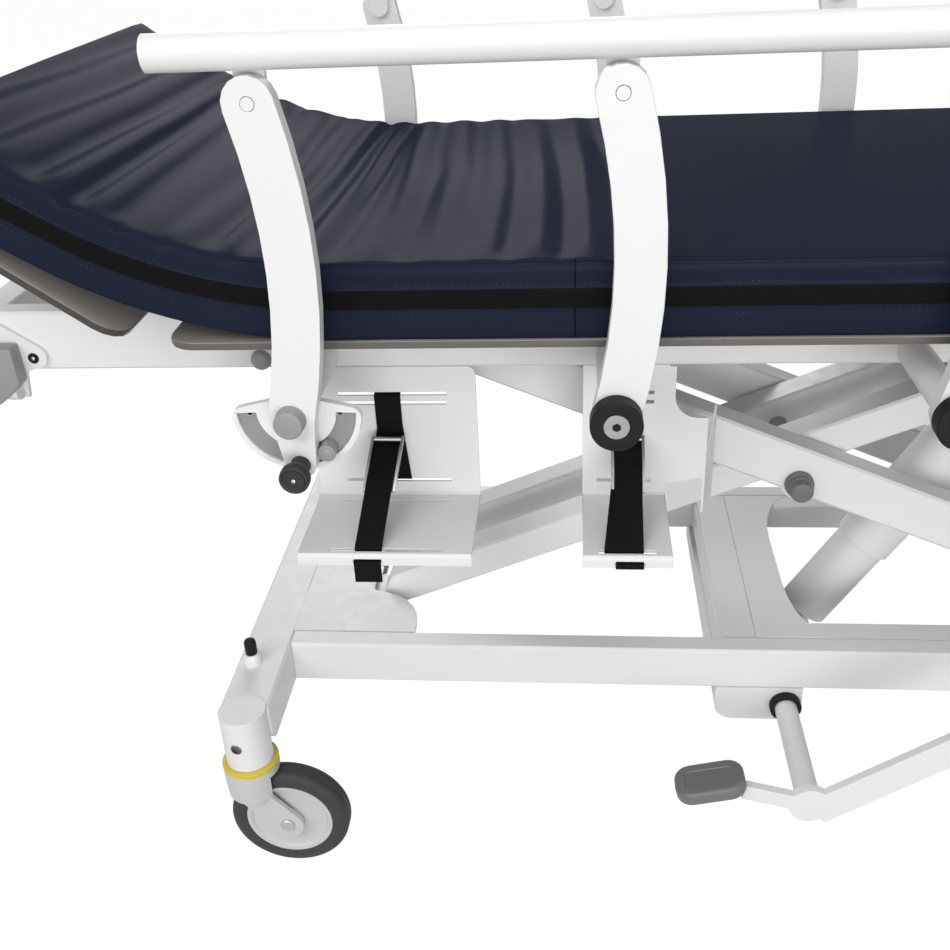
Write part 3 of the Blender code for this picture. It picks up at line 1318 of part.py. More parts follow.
def buckle(name, centre_x, lean, frame):
    """A steel cam buckle under the slanting strap, with walls beside it and a bar across its top."""
    leave, slot = strap_line()
    along = (slot - leave).normalized()
    out = Vector((along.y, -along.x))
    start = leave + along * BUCKLE_BAR_RADIUS * 4
    under = -STRAP_THICKNESS / 2 - GAP

    def slanted(points):
        return [tuple(start + along * u + out * v) for u, v in points]

    half = STRAP_WIDTH / 2 + RUN
    outer = half + BUCKLE_SHEET
    sheet = [(0, under), (BUCKLE_LENGTH, under)]
    sheet += [(BUCKLE_LENGTH, under - BUCKLE_SHEET), (0, under - BUCKLE_SHEET)]
    floor = prism(slanted(sheet), "X", centre_x - outer, centre_x + outer)
    high = under - BUCKLE_SHEET + BUCKLE_WALL_DEPTH
    wall = [(0, under - BUCKLE_SHEET), (BUCKLE_LENGTH, under - BUCKLE_SHEET)]
    wall += [(BUCKLE_LENGTH, under), (BUCKLE_LENGTH * 0.6, high), (0, high)]
    joins = []
    for sign in (-1, 1):
        near = centre_x + sign * half
        far = centre_x + sign * outer
        joins.append(leaned(prism(slanted(wall), "X", min(near, far), max(near, far)), lean))
    bar = start + along * BUCKLE_BAR_RADIUS + out * (high - BUCKLE_BAR_RADIUS)
    bar_start = (centre_x - outer + RUN, bar.x, bar.y)
    bar_end = (centre_x + outer - RUN, bar.x, bar.y)
    joins.append(leaned(rod(BUCKLE_BAR_RADIUS, bar_start, bar_end, 12), lean))
    piece(name, leaned(floor, lean), STEEL, frame, joins)


# Push bar
def push_bar(frame):
    """The bar across the head end, carried by a bracket on each side beam."""
    reach = BEAM_OUTER + GAP + PUSH_BAR_RADIUS
    z = BEAM_BOTTOM - PUSH_BAR_DROP
    end_x = -PLATFORM_HALF + PUSH_BAR_RADIUS
    path = [(PUSH_BRACKET_X, -reach)]
    bend = PUSH_BAR_BEND
    path += arc((end_x + bend, -reach + bend), bend, 270, 180, 5)
    path += arc((end_x + bend, reach - bend), bend, 180, 90, 5)
    path += [(PUSH_BRACKET_X, reach)]
    curve = bpy.data.curves.new("push_bar_path", "CURVE")
    curve.dimensions = "3D"
    curve.bevel_depth = PUSH_BAR_RADIUS
    curve.bevel_resolution = 3
    curve.use_fill_caps = True
    spline = curve.splines.new("POLY")
    spline.points.add(len(path) - 1)
    for point, (x, y) in zip(spline.points, path):
        point.co = (x, y, z, 1.0)
    guide = bpy.data.objects.new("push_bar_path", curve)
    CUTTERS.objects.link(guide)
    bpy.context.view_layer.update()
    evaluated = guide.evaluated_get(bpy.context.evaluated_depsgraph_get())
    mesh = bpy.data.meshes.new_from_object(evaluated)
    bm = bmesh.new()
    bm.from_mesh(mesh)
    bmesh.ops.remove_doubles(bm, verts=bm.verts, dist=0.00001)
    bpy.data.objects.remove(guide, do_unlink=True)
    joins = []
    for _, side in SIDES:
        near = side * (BEAM_OUTER + GAP)
        far = near + side * PUSH_BRACKET_THICKNESS
        head = PUSH_BRACKET_X - PUSH_BRACKET_WIDTH / 2
        foot = PUSH_BRACKET_X + PUSH_BRACKET_WIDTH / 2
        nose = 0.014
        outline = [(head, BEAM_TOP - 0.004), (head, z - nose)]
        outline += [(PUSH_BRACKET_X + 0.004, z - nose), (foot - 2 * nose, BEAM_BOTTOM)]
        outline += arc((foot - nose, BEAM_BOTTOM + 0.018), nose, -60, 60, 5)
        outline += [(head + nose, BEAM_TOP - 0.004)]
        joins.append(prism(outline, "Y", min(near, far), max(near, far)))
    piece("push_bar", bm, WHITE, frame, joins)


def hang(made, parent):
    """Parent an object that was placed in the world, keeping it where it is."""
    bpy.context.view_layer.update()
    made.parent = parent
    made.matrix_parent_inverse = parent.matrix_world.inverted()


def build():
    for end, sign in ENDS:
        base_end(end, sign)
        for side_name, side in SIDES:
            castor(end, sign, side_name, side)
    for side_name, side in SIDES:
        base_side_tube(side_name, side)
    centre_plate()
    base_cross_member()
    lower_pivot_shaft()
    pump_housing()
    pedal_bush()
    pedal = axis_empty("pedal_axis", (PEDAL_X, 0.0, PEDAL_Z))
    pump_pedal(pedal)

    lift = axis_empty("lift_axis", (-LIFT_HALF_SPAN, 0.0, LOWER_PIVOT_Z), None, -LIFT_ANGLE)
    inner_frame(lift)
    cross = axis_empty("cross_axis", (HALF_ARM, 0.0, 0.0), lift, 2 * LIFT_ANGLE)
    outer_frame(cross)
    level = axis_empty("level_axis", (-HALF_ARM, 0.0, 0.0), cross, -LIFT_ANGLE)
    foot = Vector((CYLINDER_FOOT_X, BASE_TOP - CYLINDER_FOOT_DROP))
    head = Vector((CYLINDER_HEAD_X, BASE_TOP + CYLINDER_HEAD_RISE))
    tilt = math.atan2(head.y - foot.y, head.x - foot.x)
    swing = axis_empty("cylinder_axis", (foot.x, 0.0, foot.y), None, -tilt)
    cylinder(swing)
    piston_rod(axis_empty("rod_axis", ((head - foot).length, 0.0, 0.0), swing))

    # The upper frame's own empty undoes its place, so what it carries is drawn in the world
    frame = axis_empty("frame_origin", (LIFT_HALF_SPAN, 0.0, -UPPER_PIVOT_Z), level)
    for side_name, side in SIDES:
        frame_beam(side_name, side, frame)
        side_rail(side_name, side, frame)
    frame_cross_tubes(frame)
    upper_pivot_shaft(frame)
    main_panel(frame)
    hinge = axis_empty("head_hinge", (HEAD_HINGE_X, 0.0, HEAD_HINGE_Z), frame, HEAD_RAISED)
    head_section(hinge)
    mattress(frame, hinge)
    bottle_holders(frame)
    for end, x, lean, tail in (
        ("head", HEAD_STRAP_X, HEAD_STRAP_LEAN, HEAD_STRAP_TAIL),
        ("foot", FOOT_STRAP_X, FOOT_STRAP_LEAN, FOOT_STRAP_TAIL),
    ):
        strap(f"bottle_strap_{end}", x, lean, tail, frame)
        buckle(f"strap_buckle_{end}", x, lean, frame)
    push_bar(frame)


build()
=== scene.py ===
# %% [markdown]
# # A patient transport stretcher
# The frame holds the stretcher's solids in metres, with the head end towards -X and the
# near side towards -Y. The steelwork keeps its solids and only gets softer edges and paint.
# The mattress, straps, knobs, caps and wheels are modelled again here, because these are the
# pieces whose cloth, weave and turned shapes the eye looks for.

import json
import math

import bmesh
import bpy
from mathutils import Matrix, Vector, noise


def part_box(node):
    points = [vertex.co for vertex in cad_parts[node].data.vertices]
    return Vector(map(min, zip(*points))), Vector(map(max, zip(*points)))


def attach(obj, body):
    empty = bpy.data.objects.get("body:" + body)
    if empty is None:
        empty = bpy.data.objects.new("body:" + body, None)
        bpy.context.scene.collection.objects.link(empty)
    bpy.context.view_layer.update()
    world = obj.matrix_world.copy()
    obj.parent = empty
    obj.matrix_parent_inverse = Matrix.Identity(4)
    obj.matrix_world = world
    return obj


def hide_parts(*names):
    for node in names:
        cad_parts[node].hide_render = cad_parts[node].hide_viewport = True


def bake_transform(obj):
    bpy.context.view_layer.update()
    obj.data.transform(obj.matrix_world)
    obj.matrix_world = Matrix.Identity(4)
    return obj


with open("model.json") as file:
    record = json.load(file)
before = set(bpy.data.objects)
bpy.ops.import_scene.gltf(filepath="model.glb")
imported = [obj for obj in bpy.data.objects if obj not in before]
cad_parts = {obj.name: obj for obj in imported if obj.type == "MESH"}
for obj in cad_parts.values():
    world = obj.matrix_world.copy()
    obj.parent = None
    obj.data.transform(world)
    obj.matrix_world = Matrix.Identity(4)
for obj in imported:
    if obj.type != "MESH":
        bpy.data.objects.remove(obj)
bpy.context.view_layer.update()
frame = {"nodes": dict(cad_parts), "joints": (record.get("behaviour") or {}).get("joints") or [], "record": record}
nodes = frame["nodes"]
print("nodes in the frame:", len(nodes))

# %% [markdown]
# ## The camera
# A photograph fixes a camera by where it stands, how it is turned and how long its lens is.
# The turn is written here as three angles: yaw about the vertical, pitch down, and a small
# roll. Building the camera's own axes from them is clearer than three Euler numbers.

# %% Camera
CAMERA_PLACE = Vector((-0.2757, -1.3079, 1.1172))
YAW = math.radians(5.986)
PITCH = math.radians(29.359)
ROLL = math.radians(-2.827)

level_right = Vector((math.cos(YAW), math.sin(YAW), 0.0))
level_ahead = Vector((-math.sin(YAW), math.cos(YAW), 0.0))
upwards = Vector((0.0, 0.0, 1.0))
ahead = level_ahead * math.cos(PITCH) - upwards * math.sin(PITCH)
tilted_up = upwards * math.cos(PITCH) + level_ahead * math.sin(PITCH)
camera_right = level_right * math.cos(ROLL) + tilted_up * math.sin(ROLL)
camera_up = tilted_up * math.cos(ROLL) - level_right * math.sin(ROLL)

lens = bpy.data.cameras.new("studio_camera")
lens.sensor_width = 36.0
lens.lens = 41.08
camera = bpy.data.objects.new("studio_camera", lens)
facing = Matrix((camera_right, camera_up, -ahead)).transposed()
camera.matrix_world = Matrix.Translation(CAMERA_PLACE) @ facing.to_4x4()
bpy.context.scene.collection.objects.link(camera)
bpy.context.scene.camera = camera
print("camera lens in mm:", lens.lens)

# %% [markdown]
# ## Light and background
# The whites are brightest where they face the viewer, so one softbox stands behind the camera.
# A second one to its left reaches under the platform and lights the tops of the base's tubes,
# one far behind the stretcher gives the long sheen on the mattress, and a weak one hangs above.
# What the camera and mirrors see beyond the floor is plain white, while everything else gets a
# dimmer, even fill from the same world.

# %% World
scene = bpy.context.scene
scene.view_settings.view_transform = "Standard"


def seen_directly(tree):
    """Adds nodes that give 1 for camera, glossy and transmission rays, and 0 for the rest."""
    path = tree.nodes.new("ShaderNodeLightPath")
    total = None
    for ray in ("Is Camera Ray", "Is Glossy Ray", "Is Transmission Ray"):
        if total is None:
            total = path.outputs[ray]
            continue
        either = tree.nodes.new("ShaderNodeMath")
        either.operation = "MAXIMUM"
        tree.links.new(total, either.inputs[0])
        tree.links.new(path.outputs[ray], either.inputs[1])
        total = either.outputs["Value"]
    return total


FILL_STRENGTH = 0.23
world = bpy.data.worlds.new("white_studio")
world.use_nodes = True
tree = world.node_tree
tree.nodes.clear()
fill = tree.nodes.new("ShaderNodeBackground")
fill.inputs["Color"].default_value = (1.0, 1.0, 1.0, 1.0)
fill.inputs["Strength"].default_value = FILL_STRENGTH
backdrop = tree.nodes.new("ShaderNodeBackground")
backdrop.inputs["Color"].default_value = (1.0, 1.0, 1.0, 1.0)
backdrop.inputs["Strength"].default_value = 1.0
choice = tree.nodes.new("ShaderNodeMixShader")
sky = tree.nodes.new("ShaderNodeOutputWorld")
tree.links.new(seen_directly(tree), choice.inputs["Fac"])
tree.links.new(fill.outputs["Background"], choice.inputs[1])
tree.links.new(backdrop.outputs["Background"], choice.inputs[2])
tree.links.new(choice.outputs["Shader"], sky.inputs["Surface"])
scene.world = world
print("fill light:", FILL_STRENGTH)

# %% Softboxes
LOOK_AT = Vector((-0.25, 0.0, 0.5))


def softbox(name, place, target, width, height, watts):
    lamp = bpy.data.lights.new(name, "AREA")
    lamp.shape = "RECTANGLE"
    lamp.size = width
    lamp.size_y = height
    lamp.energy = watts
    stand = bpy.data.objects.new(name, lamp)
    place = Vector(place)
    stand.location = place
    stand.rotation_euler = (Vector(target) - place).to_track_quat("-Z", "Y").to_euler()
    scene.collection.objects.link(stand)
    return stand


softbox("front_softbox", (0.6, -4.1, 0.7), LOOK_AT, 3.2, 1.5, 80.0)
softbox("left_softbox", (-2.2, -3.4, 3.3), (-0.3, 0.0, 0.3), 3.2, 2.6, 88.0)
softbox("overhead_softbox", (0.2, -0.6, 3.4), LOOK_AT, 2.6, 2.0, 26.0)
softbox("sheen_softbox", (-0.95, 3.2, 2.3), (-0.5, 0.0, 0.8), 1.6, 1.6, 56.0)

# %% [markdown]
# ## The floor
# A grid of one face is enough for a floor. It glows softly for the camera so that it reads as
# white paper, and a small share of ordinary white keeps the stretcher's shadow on it.

# %% Floor
PAPER_GLOW = 0.94
PAPER_SHADE = 0.16
FLOOR_HALF = 30.0


def paper_material():
    material = bpy.data.materials.new("studio_paper")
    material.use_nodes = True
    tree = material.node_tree
    tree.nodes.clear()
    bounce = tree.nodes.new("ShaderNodeBsdfDiffuse")
    bounce.inputs["Color"].default_value = (0.4, 0.4, 0.4, 1.0)
    shade = tree.nodes.new("ShaderNodeBsdfDiffuse")
    shade.inputs["Color"].default_value = (PAPER_SHADE, PAPER_SHADE, PAPER_SHADE, 1.0)
    glow = tree.nodes.new("ShaderNodeEmission")
    glow.inputs["Strength"].default_value = PAPER_GLOW
    both = tree.nodes.new("ShaderNodeAddShader")
    tree.links.new(shade.outputs[0], both.inputs[0])
    tree.links.new(glow.outputs[0], both.inputs[1])
    choice = tree.nodes.new("ShaderNodeMixShader")
    tree.links.new(seen_directly(tree), choice.inputs["Fac"])
    tree.links.new(bounce.outputs[0], choice.inputs[1])
    tree.links.new(both.outputs[0], choice.inputs[2])
    end = tree.nodes.new("ShaderNodeOutputMaterial")
    tree.links.new(choice.outputs[0], end.inputs["Surface"])
    return material


bm = bmesh.new()
bmesh.ops.create_grid(bm, x_segments=1, y_segments=1, size=FLOOR_HALF)
floor_mesh = bpy.data.meshes.new("studio_floor")
bm.to_mesh(floor_mesh)
bm.free()
floor_mesh.materials.append(paper_material())
floor = bpy.data.objects.new("studio_floor", floor_mesh)
scene.collection.objects.link(floor)
print("floor side in m:", 2 * FLOOR_HALF)

# %% [markdown]
# ## Finishes
# Every finish here starts from one Principled shader. Noise in Object coordinates varies its
# colour and gloss a little and gives it a fine relief, so a flat panel still catches the light
# like paint and not like plastic film. Object coordinates keep the grain the same size on
# every piece, since all pieces share one frame in metres.

# %% A helper for finishes


class Finish:
    """One procedural material, built up node by node."""

    def __init__(self, name, roughness, metallic=0.0, specular=0.5):
        self.material = bpy.data.materials.new(name)
        self.material.use_nodes = True
        self.tree = self.material.node_tree
        self.shader = self.tree.nodes["Principled BSDF"]
        self.shader.inputs["Roughness"].default_value = roughness
        self.shader.inputs["Metallic"].default_value = metallic
        self.shader.inputs["Specular IOR Level"].default_value = specular
        self.place = self.tree.nodes.new("ShaderNodeTexCoord").outputs["Object"]

    def node(self, kind, **values):
        made = self.tree.nodes.new(kind)
        for key, value in values.items():
            setattr(made, key, value)
        return made

    def link(self, start, end):
        self.tree.links.new(start, end)

    def stretched(self, scale, place=None):
        """The coordinates scaled differently along each axis."""
        mapping = self.node("ShaderNodeMapping")
        mapping.inputs["Scale"].default_value = scale
        self.link(place or self.place, mapping.inputs["Vector"])
        return mapping.outputs["Vector"]

    def speckle(self, scale, detail=2.0, place=None):
        texture = self.node("ShaderNodeTexNoise")
        texture.inputs["Scale"].default_value = scale
        texture.inputs["Detail"].default_value = detail
        self.link(place or self.place, texture.inputs["Vector"])
        return texture.outputs["Fac"]

    def spread(self, value, low, high, start=0.3, end=0.7):
        """Maps a texture value onto a range of its own."""
        remap = self.node("ShaderNodeMapRange")
        remap.inputs["From Min"].default_value = start
        remap.inputs["From Max"].default_value = end
        remap.inputs["To Min"].default_value = low
        remap.inputs["To Max"].default_value = high
        self.link(value, remap.inputs["Value"])
        return remap.outputs["Result"]

    def blend(self, value, first, second):
        """A colour between two, by a texture value; either colour may be a socket."""
        mix = self.node("ShaderNodeMix", data_type="RGBA")
        self.link(value, mix.inputs["Factor"])
        for colour, socket in ((first, mix.inputs["A"]), (second, mix.inputs["B"])):
            if isinstance(colour, tuple):
                socket.default_value = (*colour, 1.0)
            else:
                self.link(colour, socket)
        return mix.outputs["Result"]

    def sum_of(self, operation, one, other):
        maths = self.node("ShaderNodeMath", operation=operation)
        for value, socket in ((one, maths.inputs[0]), (other, maths.inputs[1])):
            if isinstance(value, (int, float)):
                socket.default_value = value
            else:
                self.link(value, socket)
        return maths.outputs["Value"]

    def colour(self, value):
        self.link(value, self.shader.inputs["Base Color"])

    def roughness(self, value):
        self.link(value, self.shader.inputs["Roughness"])

    def relief(self, value, distance, strength=1.0):
        bump = self.node("ShaderNodeBump")
        bump.inputs["Distance"].default_value = distance
        bump.inputs["Strength"].default_value = strength
        self.link(value, bump.inputs["Height"])
        self.link(bump.outputs["Normal"], self.shader.inputs["Normal"])


print("a finish is one Principled shader with noise on its colour, gloss and relief")

# %% Paint and plastics


def coat(name, dark, light, rough, grain, depth, specular=0.5):
    """A paint or moulded plastic: cloudy colour, uneven gloss and a fine orange peel."""
    made = Finish(name, rough, specular=specular)
    made.colour(made.blend(made.speckle(9.0, 3.0), dark, light))
    made.roughness(made.spread(made.speckle(60.0), rough - 0.05, rough + 0.06))
    made.relief(made.speckle(grain, 1.0), depth, 0.5)
    return made.material


def grey(level, blue=0.0):
    return (level, level, level + blue)


white_paint = coat("white_powder_coat", grey(0.815), grey(0.845), 0.42, 700.0, 0.00012)
cap_plastic = coat("cap_plastic", grey(0.275, 0.005), grey(0.325, 0.005), 0.42, 900.0, 0.00012)
grey_plastic = coat("grey_plastic", (0.135, 0.137, 0.14), (0.16, 0.162, 0.166), 0.45, 900.0, 0.00015)
castor_plastic = coat("castor_plastic", grey(0.56, 0.005), grey(0.62, 0.005), 0.40, 900.0, 0.00012)
track_plastic = coat("track_plastic", grey(0.25), grey(0.31), 0.55, 500.0, 0.00025)
yellow_plastic = coat("yellow_plastic", (0.62, 0.47, 0.045), (0.70, 0.54, 0.06), 0.40, 900.0, 0.0001)
black_plastic = coat("black_plastic", grey(0.010, 0.001), grey(0.017, 0.001), 0.50, 1100.0, 0.00025, 0.12)
knob_plastic = coat("knob_plastic", grey(0.022, 0.001), grey(0.032, 0.001), 0.45, 1100.0, 0.00025, 0.25)
tyre_rubber = coat("tyre_rubber", grey(0.034, 0.001), grey(0.050, 0.002), 0.62, 800.0, 0.0003, 0.3)
print("paint and plastics:", 9)

# %% Steel and laminate


def brushed_steel(name, dark, light):
    made = Finish(name, 0.30, metallic=1.0)
    grain = made.speckle(260.0, 4.0, made.stretched((0.08, 1.0, 1.0)))
    made.colour(made.blend(grain, grey(dark, 0.005), grey(light, 0.005)))
    made.roughness(made.spread(grain, 0.30, 0.46))
    made.relief(grain, 0.00006, 0.6)
    return made.material


def grey_laminate(name, dark, light, core):
    """A warm grey face with fine flecks, and a dark core where the board is cut. The head panel's copy is given a
    lighter face as painted light and a darker core as painted shade.
    """
    made = Finish(name, 0.48)
    flecks = made.spread(made.speckle(420.0, 3.0), 0.0, 1.0, 0.35, 0.65)
    face = made.blend(flecks, dark, light)
    normal = made.node("ShaderNodeNewGeometry").outputs["Normal"]
    parts = made.node("ShaderNodeSeparateXYZ")
    made.link(normal, parts.inputs["Vector"])
    upright = made.sum_of("ABSOLUTE", parts.outputs["Z"], 0.0)
    is_face = made.spread(upright, 0.0, 1.0, 0.55, 0.62)
    made.colour(made.blend(is_face, core, face))
    made.relief(flecks, 0.00008, 0.5)
    return made.material


steel = brushed_steel("brushed_steel", 0.38, 0.50)
washer_steel = brushed_steel("washer_steel", 0.25, 0.34)
dark_steel = brushed_steel("dark_steel", 0.07, 0.15)
deck_tones = ((0.335, 0.312, 0.292), (0.375, 0.350, 0.328), (0.100, 0.092, 0.086))
# The head panel's copy of the laminate: its face is painted lighter, as painted light for the tilted panel that
# gets less lamp light, and its cut edge is painted darker, as painted shade.
head_tones_painted_light = ((0.420, 0.390, 0.362), (0.470, 0.436, 0.405), (0.036, 0.032, 0.029))
laminate = grey_laminate("grey_laminate", *deck_tones)
head_laminate_painted_light = grey_laminate("head_laminate_painted_light", *head_tones_painted_light)
print("steels and laminates:", 5)

# %% [markdown]
# ## Dressing the steelwork
# The frame's meshes stay as they are. A Weld modifier joins their loose triangles, a Bevel
# gives each sharp edge the small radius of folded and welded steel, and weighted normals keep
# the flat faces flat. Modifiers do this without touching the mesh underneath.

# %% Soften and paint the frame's own nodes
FINISH_OF_SLOT = {
    "white_paint": white_paint,
    "grey_plastic": grey_plastic,
    "castor_plastic": castor_plastic,
    "black_rubber": black_plastic,
    "tyre": tyre_rubber,
    "steel": steel,
    "laminate": laminate,
    "navy_cover": black_plastic,
    "webbing": black_plastic,
}
EDGE_RADIUS = {"main_panel": 0.001, "head_panel": 0.001, "top_rail_right": 0.002, "top_rail_left": 0.002}
for welded in ("base_side_tube_right", "base_side_tube_left", "base_end_head", "base_end_foot"):
    EDGE_RADIUS[welded] = 0.0005
for welded in ("centre_plate", "base_cross_member"):
    EDGE_RADIUS[welded] = 0.0005


def soften(thing, radius, segments=3):
    weld = thing.modifiers.new("weld", "WELD")
    weld.merge_threshold = 0.00002
    edge = thing.modifiers.new("edge", "BEVEL")
    edge.width = radius
    edge.segments = segments
    edge.limit_method = "ANGLE"
    edge.angle_limit = math.radians(38.0)
    edge.profile = 0.5
    edge.use_clamp_overlap = True
    even = thing.modifiers.new("even", "WEIGHTED_NORMAL")
    even.keep_sharp = False
    thing.data.polygons.foreach_set("use_smooth", [True] * len(thing.data.polygons))


for subpart in frame["record"]["subparts"]:
    thing = nodes[subpart["node"]]
    thing.data.materials.clear()
    # The head panel takes the laminate copy with painted light on its face and painted shade on its edge.
    finish = head_laminate_painted_light if subpart["node"] == "head_panel" else FINISH_OF_SLOT[subpart["material_slot"]]
    thing.data.materials.append(finish)
    soften(thing, EDGE_RADIUS.get(subpart["node"], 0.0015))

# %% [markdown]
# ## Helpers for new pieces
# A turned piece is a profile spun about an axis. The spin is full, so it merges its last step
# with its first. A plate is an outline that is drawn out. Every finished object stays at the
# origin, with its place in its mesh.

# %% Piece and turned-profile helpers
SIDES = (("right", -1.0), ("left", 1.0))
CORNERS = []
for end_name, end in (("head", -1.0), ("foot", 1.0)):
    CORNERS += [(f"{end_name}_{side_name}", end, side) for side_name, side in SIDES]


def make_piece(name, bm, material, body, sharp=35.0):
    bmesh.ops.remove_doubles(bm, verts=bm.verts, dist=0.000005)
    bmesh.ops.recalc_face_normals(bm, faces=bm.faces)
    mesh = bpy.data.meshes.new(name)
    bm.to_mesh(mesh)
    bm.free()
    mesh.polygons.foreach_set("use_smooth", [True] * len(mesh.polygons))
    mesh.set_sharp_from_angle(angle=math.radians(sharp))
    mesh.materials.append(material)
    made = bpy.data.objects.new(name, mesh)
    scene.collection.objects.link(made)
    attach(made, body)
    return made


def towards(place, axis):
    """The matrix that puts a shape standing on Z at a place, standing on another axis."""
    turned = Vector(axis).to_track_quat("Z", "Y").to_matrix().to_4x4()
    return Matrix.Translation(place) @ turned


def turn(profile, steps=64):
    """Spins a profile of (radius, height) points about Z."""
    bm = bmesh.new()
    points = [bm.verts.new((radius, 0.0, height)) for radius, height in profile]
    edges = [bm.edges.new(pair) for pair in zip(points, points[1:])]
    bmesh.ops.spin(
        bm,
        geom=points + edges,
        cent=(0, 0, 0),
        axis=(0, 0, 1),
        angle=2 * math.pi,
        steps=steps,
        use_merge=True,
    )
    bmesh.ops.remove_doubles(bm, verts=bm.verts, dist=0.000002)
    bmesh.ops.recalc_face_normals(bm, faces=bm.faces)
    return bm


def rounded(start, corner, end, steps=4):
    """Points on a quarter round from one profile point to another about their corner."""
    points = []
    for step in range(steps + 1):
        t = step / steps
        one = Vector(start).lerp(Vector(corner), t)
        other = Vector(corner).lerp(Vector(end), t)
        points.append(tuple(one.lerp(other, t)))
    return points


def place_turned(name, profile, place, axis, material, body, steps=64):
    bm = turn(profile, steps)
    bmesh.ops.transform(bm, matrix=towards(place, axis), verts=bm.verts)
    return make_piece(name, bm, material, body)


def extruded(bm, corners, shift):
    """A flat face through the corners, drawn out into a solid."""
    face = bm.faces.new([bm.verts.new(corner) for corner in corners])
    grown = bmesh.ops.extrude_face_region(bm, geom=[face])["geom"]
    moved = [item for item in grown if isinstance(item, bmesh.types.BMVert)]
    bmesh.ops.translate(bm, verts=moved, vec=shift)
    return bm


# %% Measures taken from the frame
tube_low, tube_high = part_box("base_side_tube_right")
DECK_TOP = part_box("main_panel")[1][2]
BEAM_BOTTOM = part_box("bottle_holder_head")[1][2] + 0.0003
BEAM_FACE = abs(tube_low[1])
BASE_TOP = tube_high[2]
joint_place = {joint["name"]: Vector(joint.get("pos_m", (0, 0, 0))) for joint in frame["joints"]}
print("deck top", round(DECK_TOP, 4), "base top", round(BASE_TOP, 4))

# %% [markdown]
# ## The mattress
# The mattress is one long foam pad in a coated cover, bent over the head hinge, with a zip
# along its side. A box cut into strips gives clean rows for the seams and the zip. It is shaped
# flat first, because the cover was sewn flat, and bent afterwards. The cloth simulation then
# starts from the bent form but remembers the flat lengths, so the spare cover on the inside of
# the bend buckles into folds by itself.

# %% Sizes of the mattress
MATTRESS_FOOT = 0.995
BEND_START = -0.510
BEND_RADIUS = 0.5775
BEND_ANGLE = math.radians(31.0)
HEAD_RUN = 0.152
MATTRESS_HALF = 0.322
MATTRESS_HEIGHT = 0.0800
CROWN = 0.008
straight_run = MATTRESS_FOOT - BEND_START
bend_run = BEND_RADIUS * BEND_ANGLE
mattress_length = straight_run + bend_run + HEAD_RUN
LENGTH_ROWS = ((0.0, 0.0), (0.04, 0.05), (0.24, 1.08), (0.97, mattress_length - 0.04), (1.0, mattress_length))
WIDTH_ROWS = ((0.0, -1.0), (0.02, -0.988), (0.30, -0.62), (0.70, 0.62), (0.98, 0.988), (1.0, 1.0))
ZIP_ROWS = (0.0318, 0.0518)
SIDE_ROWS = (0.0, 0.008, 0.0308, ZIP_ROWS[0], 0.0328, 0.0508, ZIP_ROWS[1], 0.0528, 0.062)
SIDE_ROWS += (0.0730, 0.0758, 0.0780, MATTRESS_HEIGHT)
SEAM_HEIGHT = 0.0758
print("mattress length along its underside:", round(mattress_length, 3))

# %% Cut a box into rows


def along_table(t, table):
    """Reads a table of (share, value) pairs, straight between its entries."""
    for (a, low), (b, high) in zip(table, table[1:]):
        if t <= b + 1e-9:
            return low + (high - low) * (t - a) / (b - a)
    return table[-1][1]


def cut_rows(bm, axis, cuts):
    chosen = []
    for edge in bm.edges:
        run = edge.verts[0].co - edge.verts[1].co
        if abs(run[axis]) > 0.9 * run.length:
            chosen.append(edge)
    bmesh.ops.subdivide_edges(bm, edges=chosen, cuts=cuts, use_grid_fill=True)


LENGTH_CUTS = 160
WIDTH_CUTS = 49
pad = bmesh.new()
bmesh.ops.create_cube(pad, size=1.0, matrix=Matrix.Translation((0.5, 0.5, 0.5)))
cut_rows(pad, 2, len(SIDE_ROWS) - 2)
cut_rows(pad, 1, WIDTH_CUTS)
cut_rows(pad, 0, LENGTH_CUTS)
side_table = [(row / (len(SIDE_ROWS) - 1), height) for row, height in enumerate(SIDE_ROWS)]
for corner in pad.verts:
    corner.co = (
        along_table(corner.co.x, LENGTH_ROWS),
        along_table(corner.co.y, WIDTH_ROWS) * MATTRESS_HALF,
        along_table(corner.co.z, side_table),
    )
print("mattress faces:", len(pad.faces))

# %% Shape the cover while it is flat
sewn = pad.verts.layers.float_vector.new("cover")


def near(value, target, width):
    """1 at the target, falling to 0 a width away."""
    return max(0.0, 1.0 - abs(value - target) / width)


def ease(t):
    t = min(max(t, 0.0), 1.0)
    return t * t * (3.0 - 2.0 * t)


def fold_share(run):
    """How strongly the cover is gathered: nothing on the straight part, most at the bend."""
    return ease((run - 1.12) / 0.16)


def drawn_in(height):
    """How far the side stands back at a height: round below, flat zip, seam under the top edge."""
    back = 0.004 * max(0.0, 1.0 - height / 0.008) ** 2
    back += 0.0015 if ZIP_ROWS[0] - 0.0005 < height < ZIP_ROWS[1] + 0.0005 else 0.0
    back += 0.0030 * near(height, SEAM_HEIGHT, 0.0031)
    back += 0.0010 * near(height, MATTRESS_HEIGHT, 0.0015)
    back -= 0.0025 * math.sin(math.pi * min(height / 0.07, 1.0))
    return back


PUCKERS = (1.615, 1.688, 1.742, 1.805, 1.545)


def crease(run, height):
    """How far a sewn-down point of the seam draws the band below it in."""
    slanted = run + 0.35 * (SEAM_HEIGHT - height)
    nip = max(near(slanted, spot, 0.010) for spot in PUCKERS)
    return 0.0042 * nip * nip * ease((height - 0.052) / 0.016)


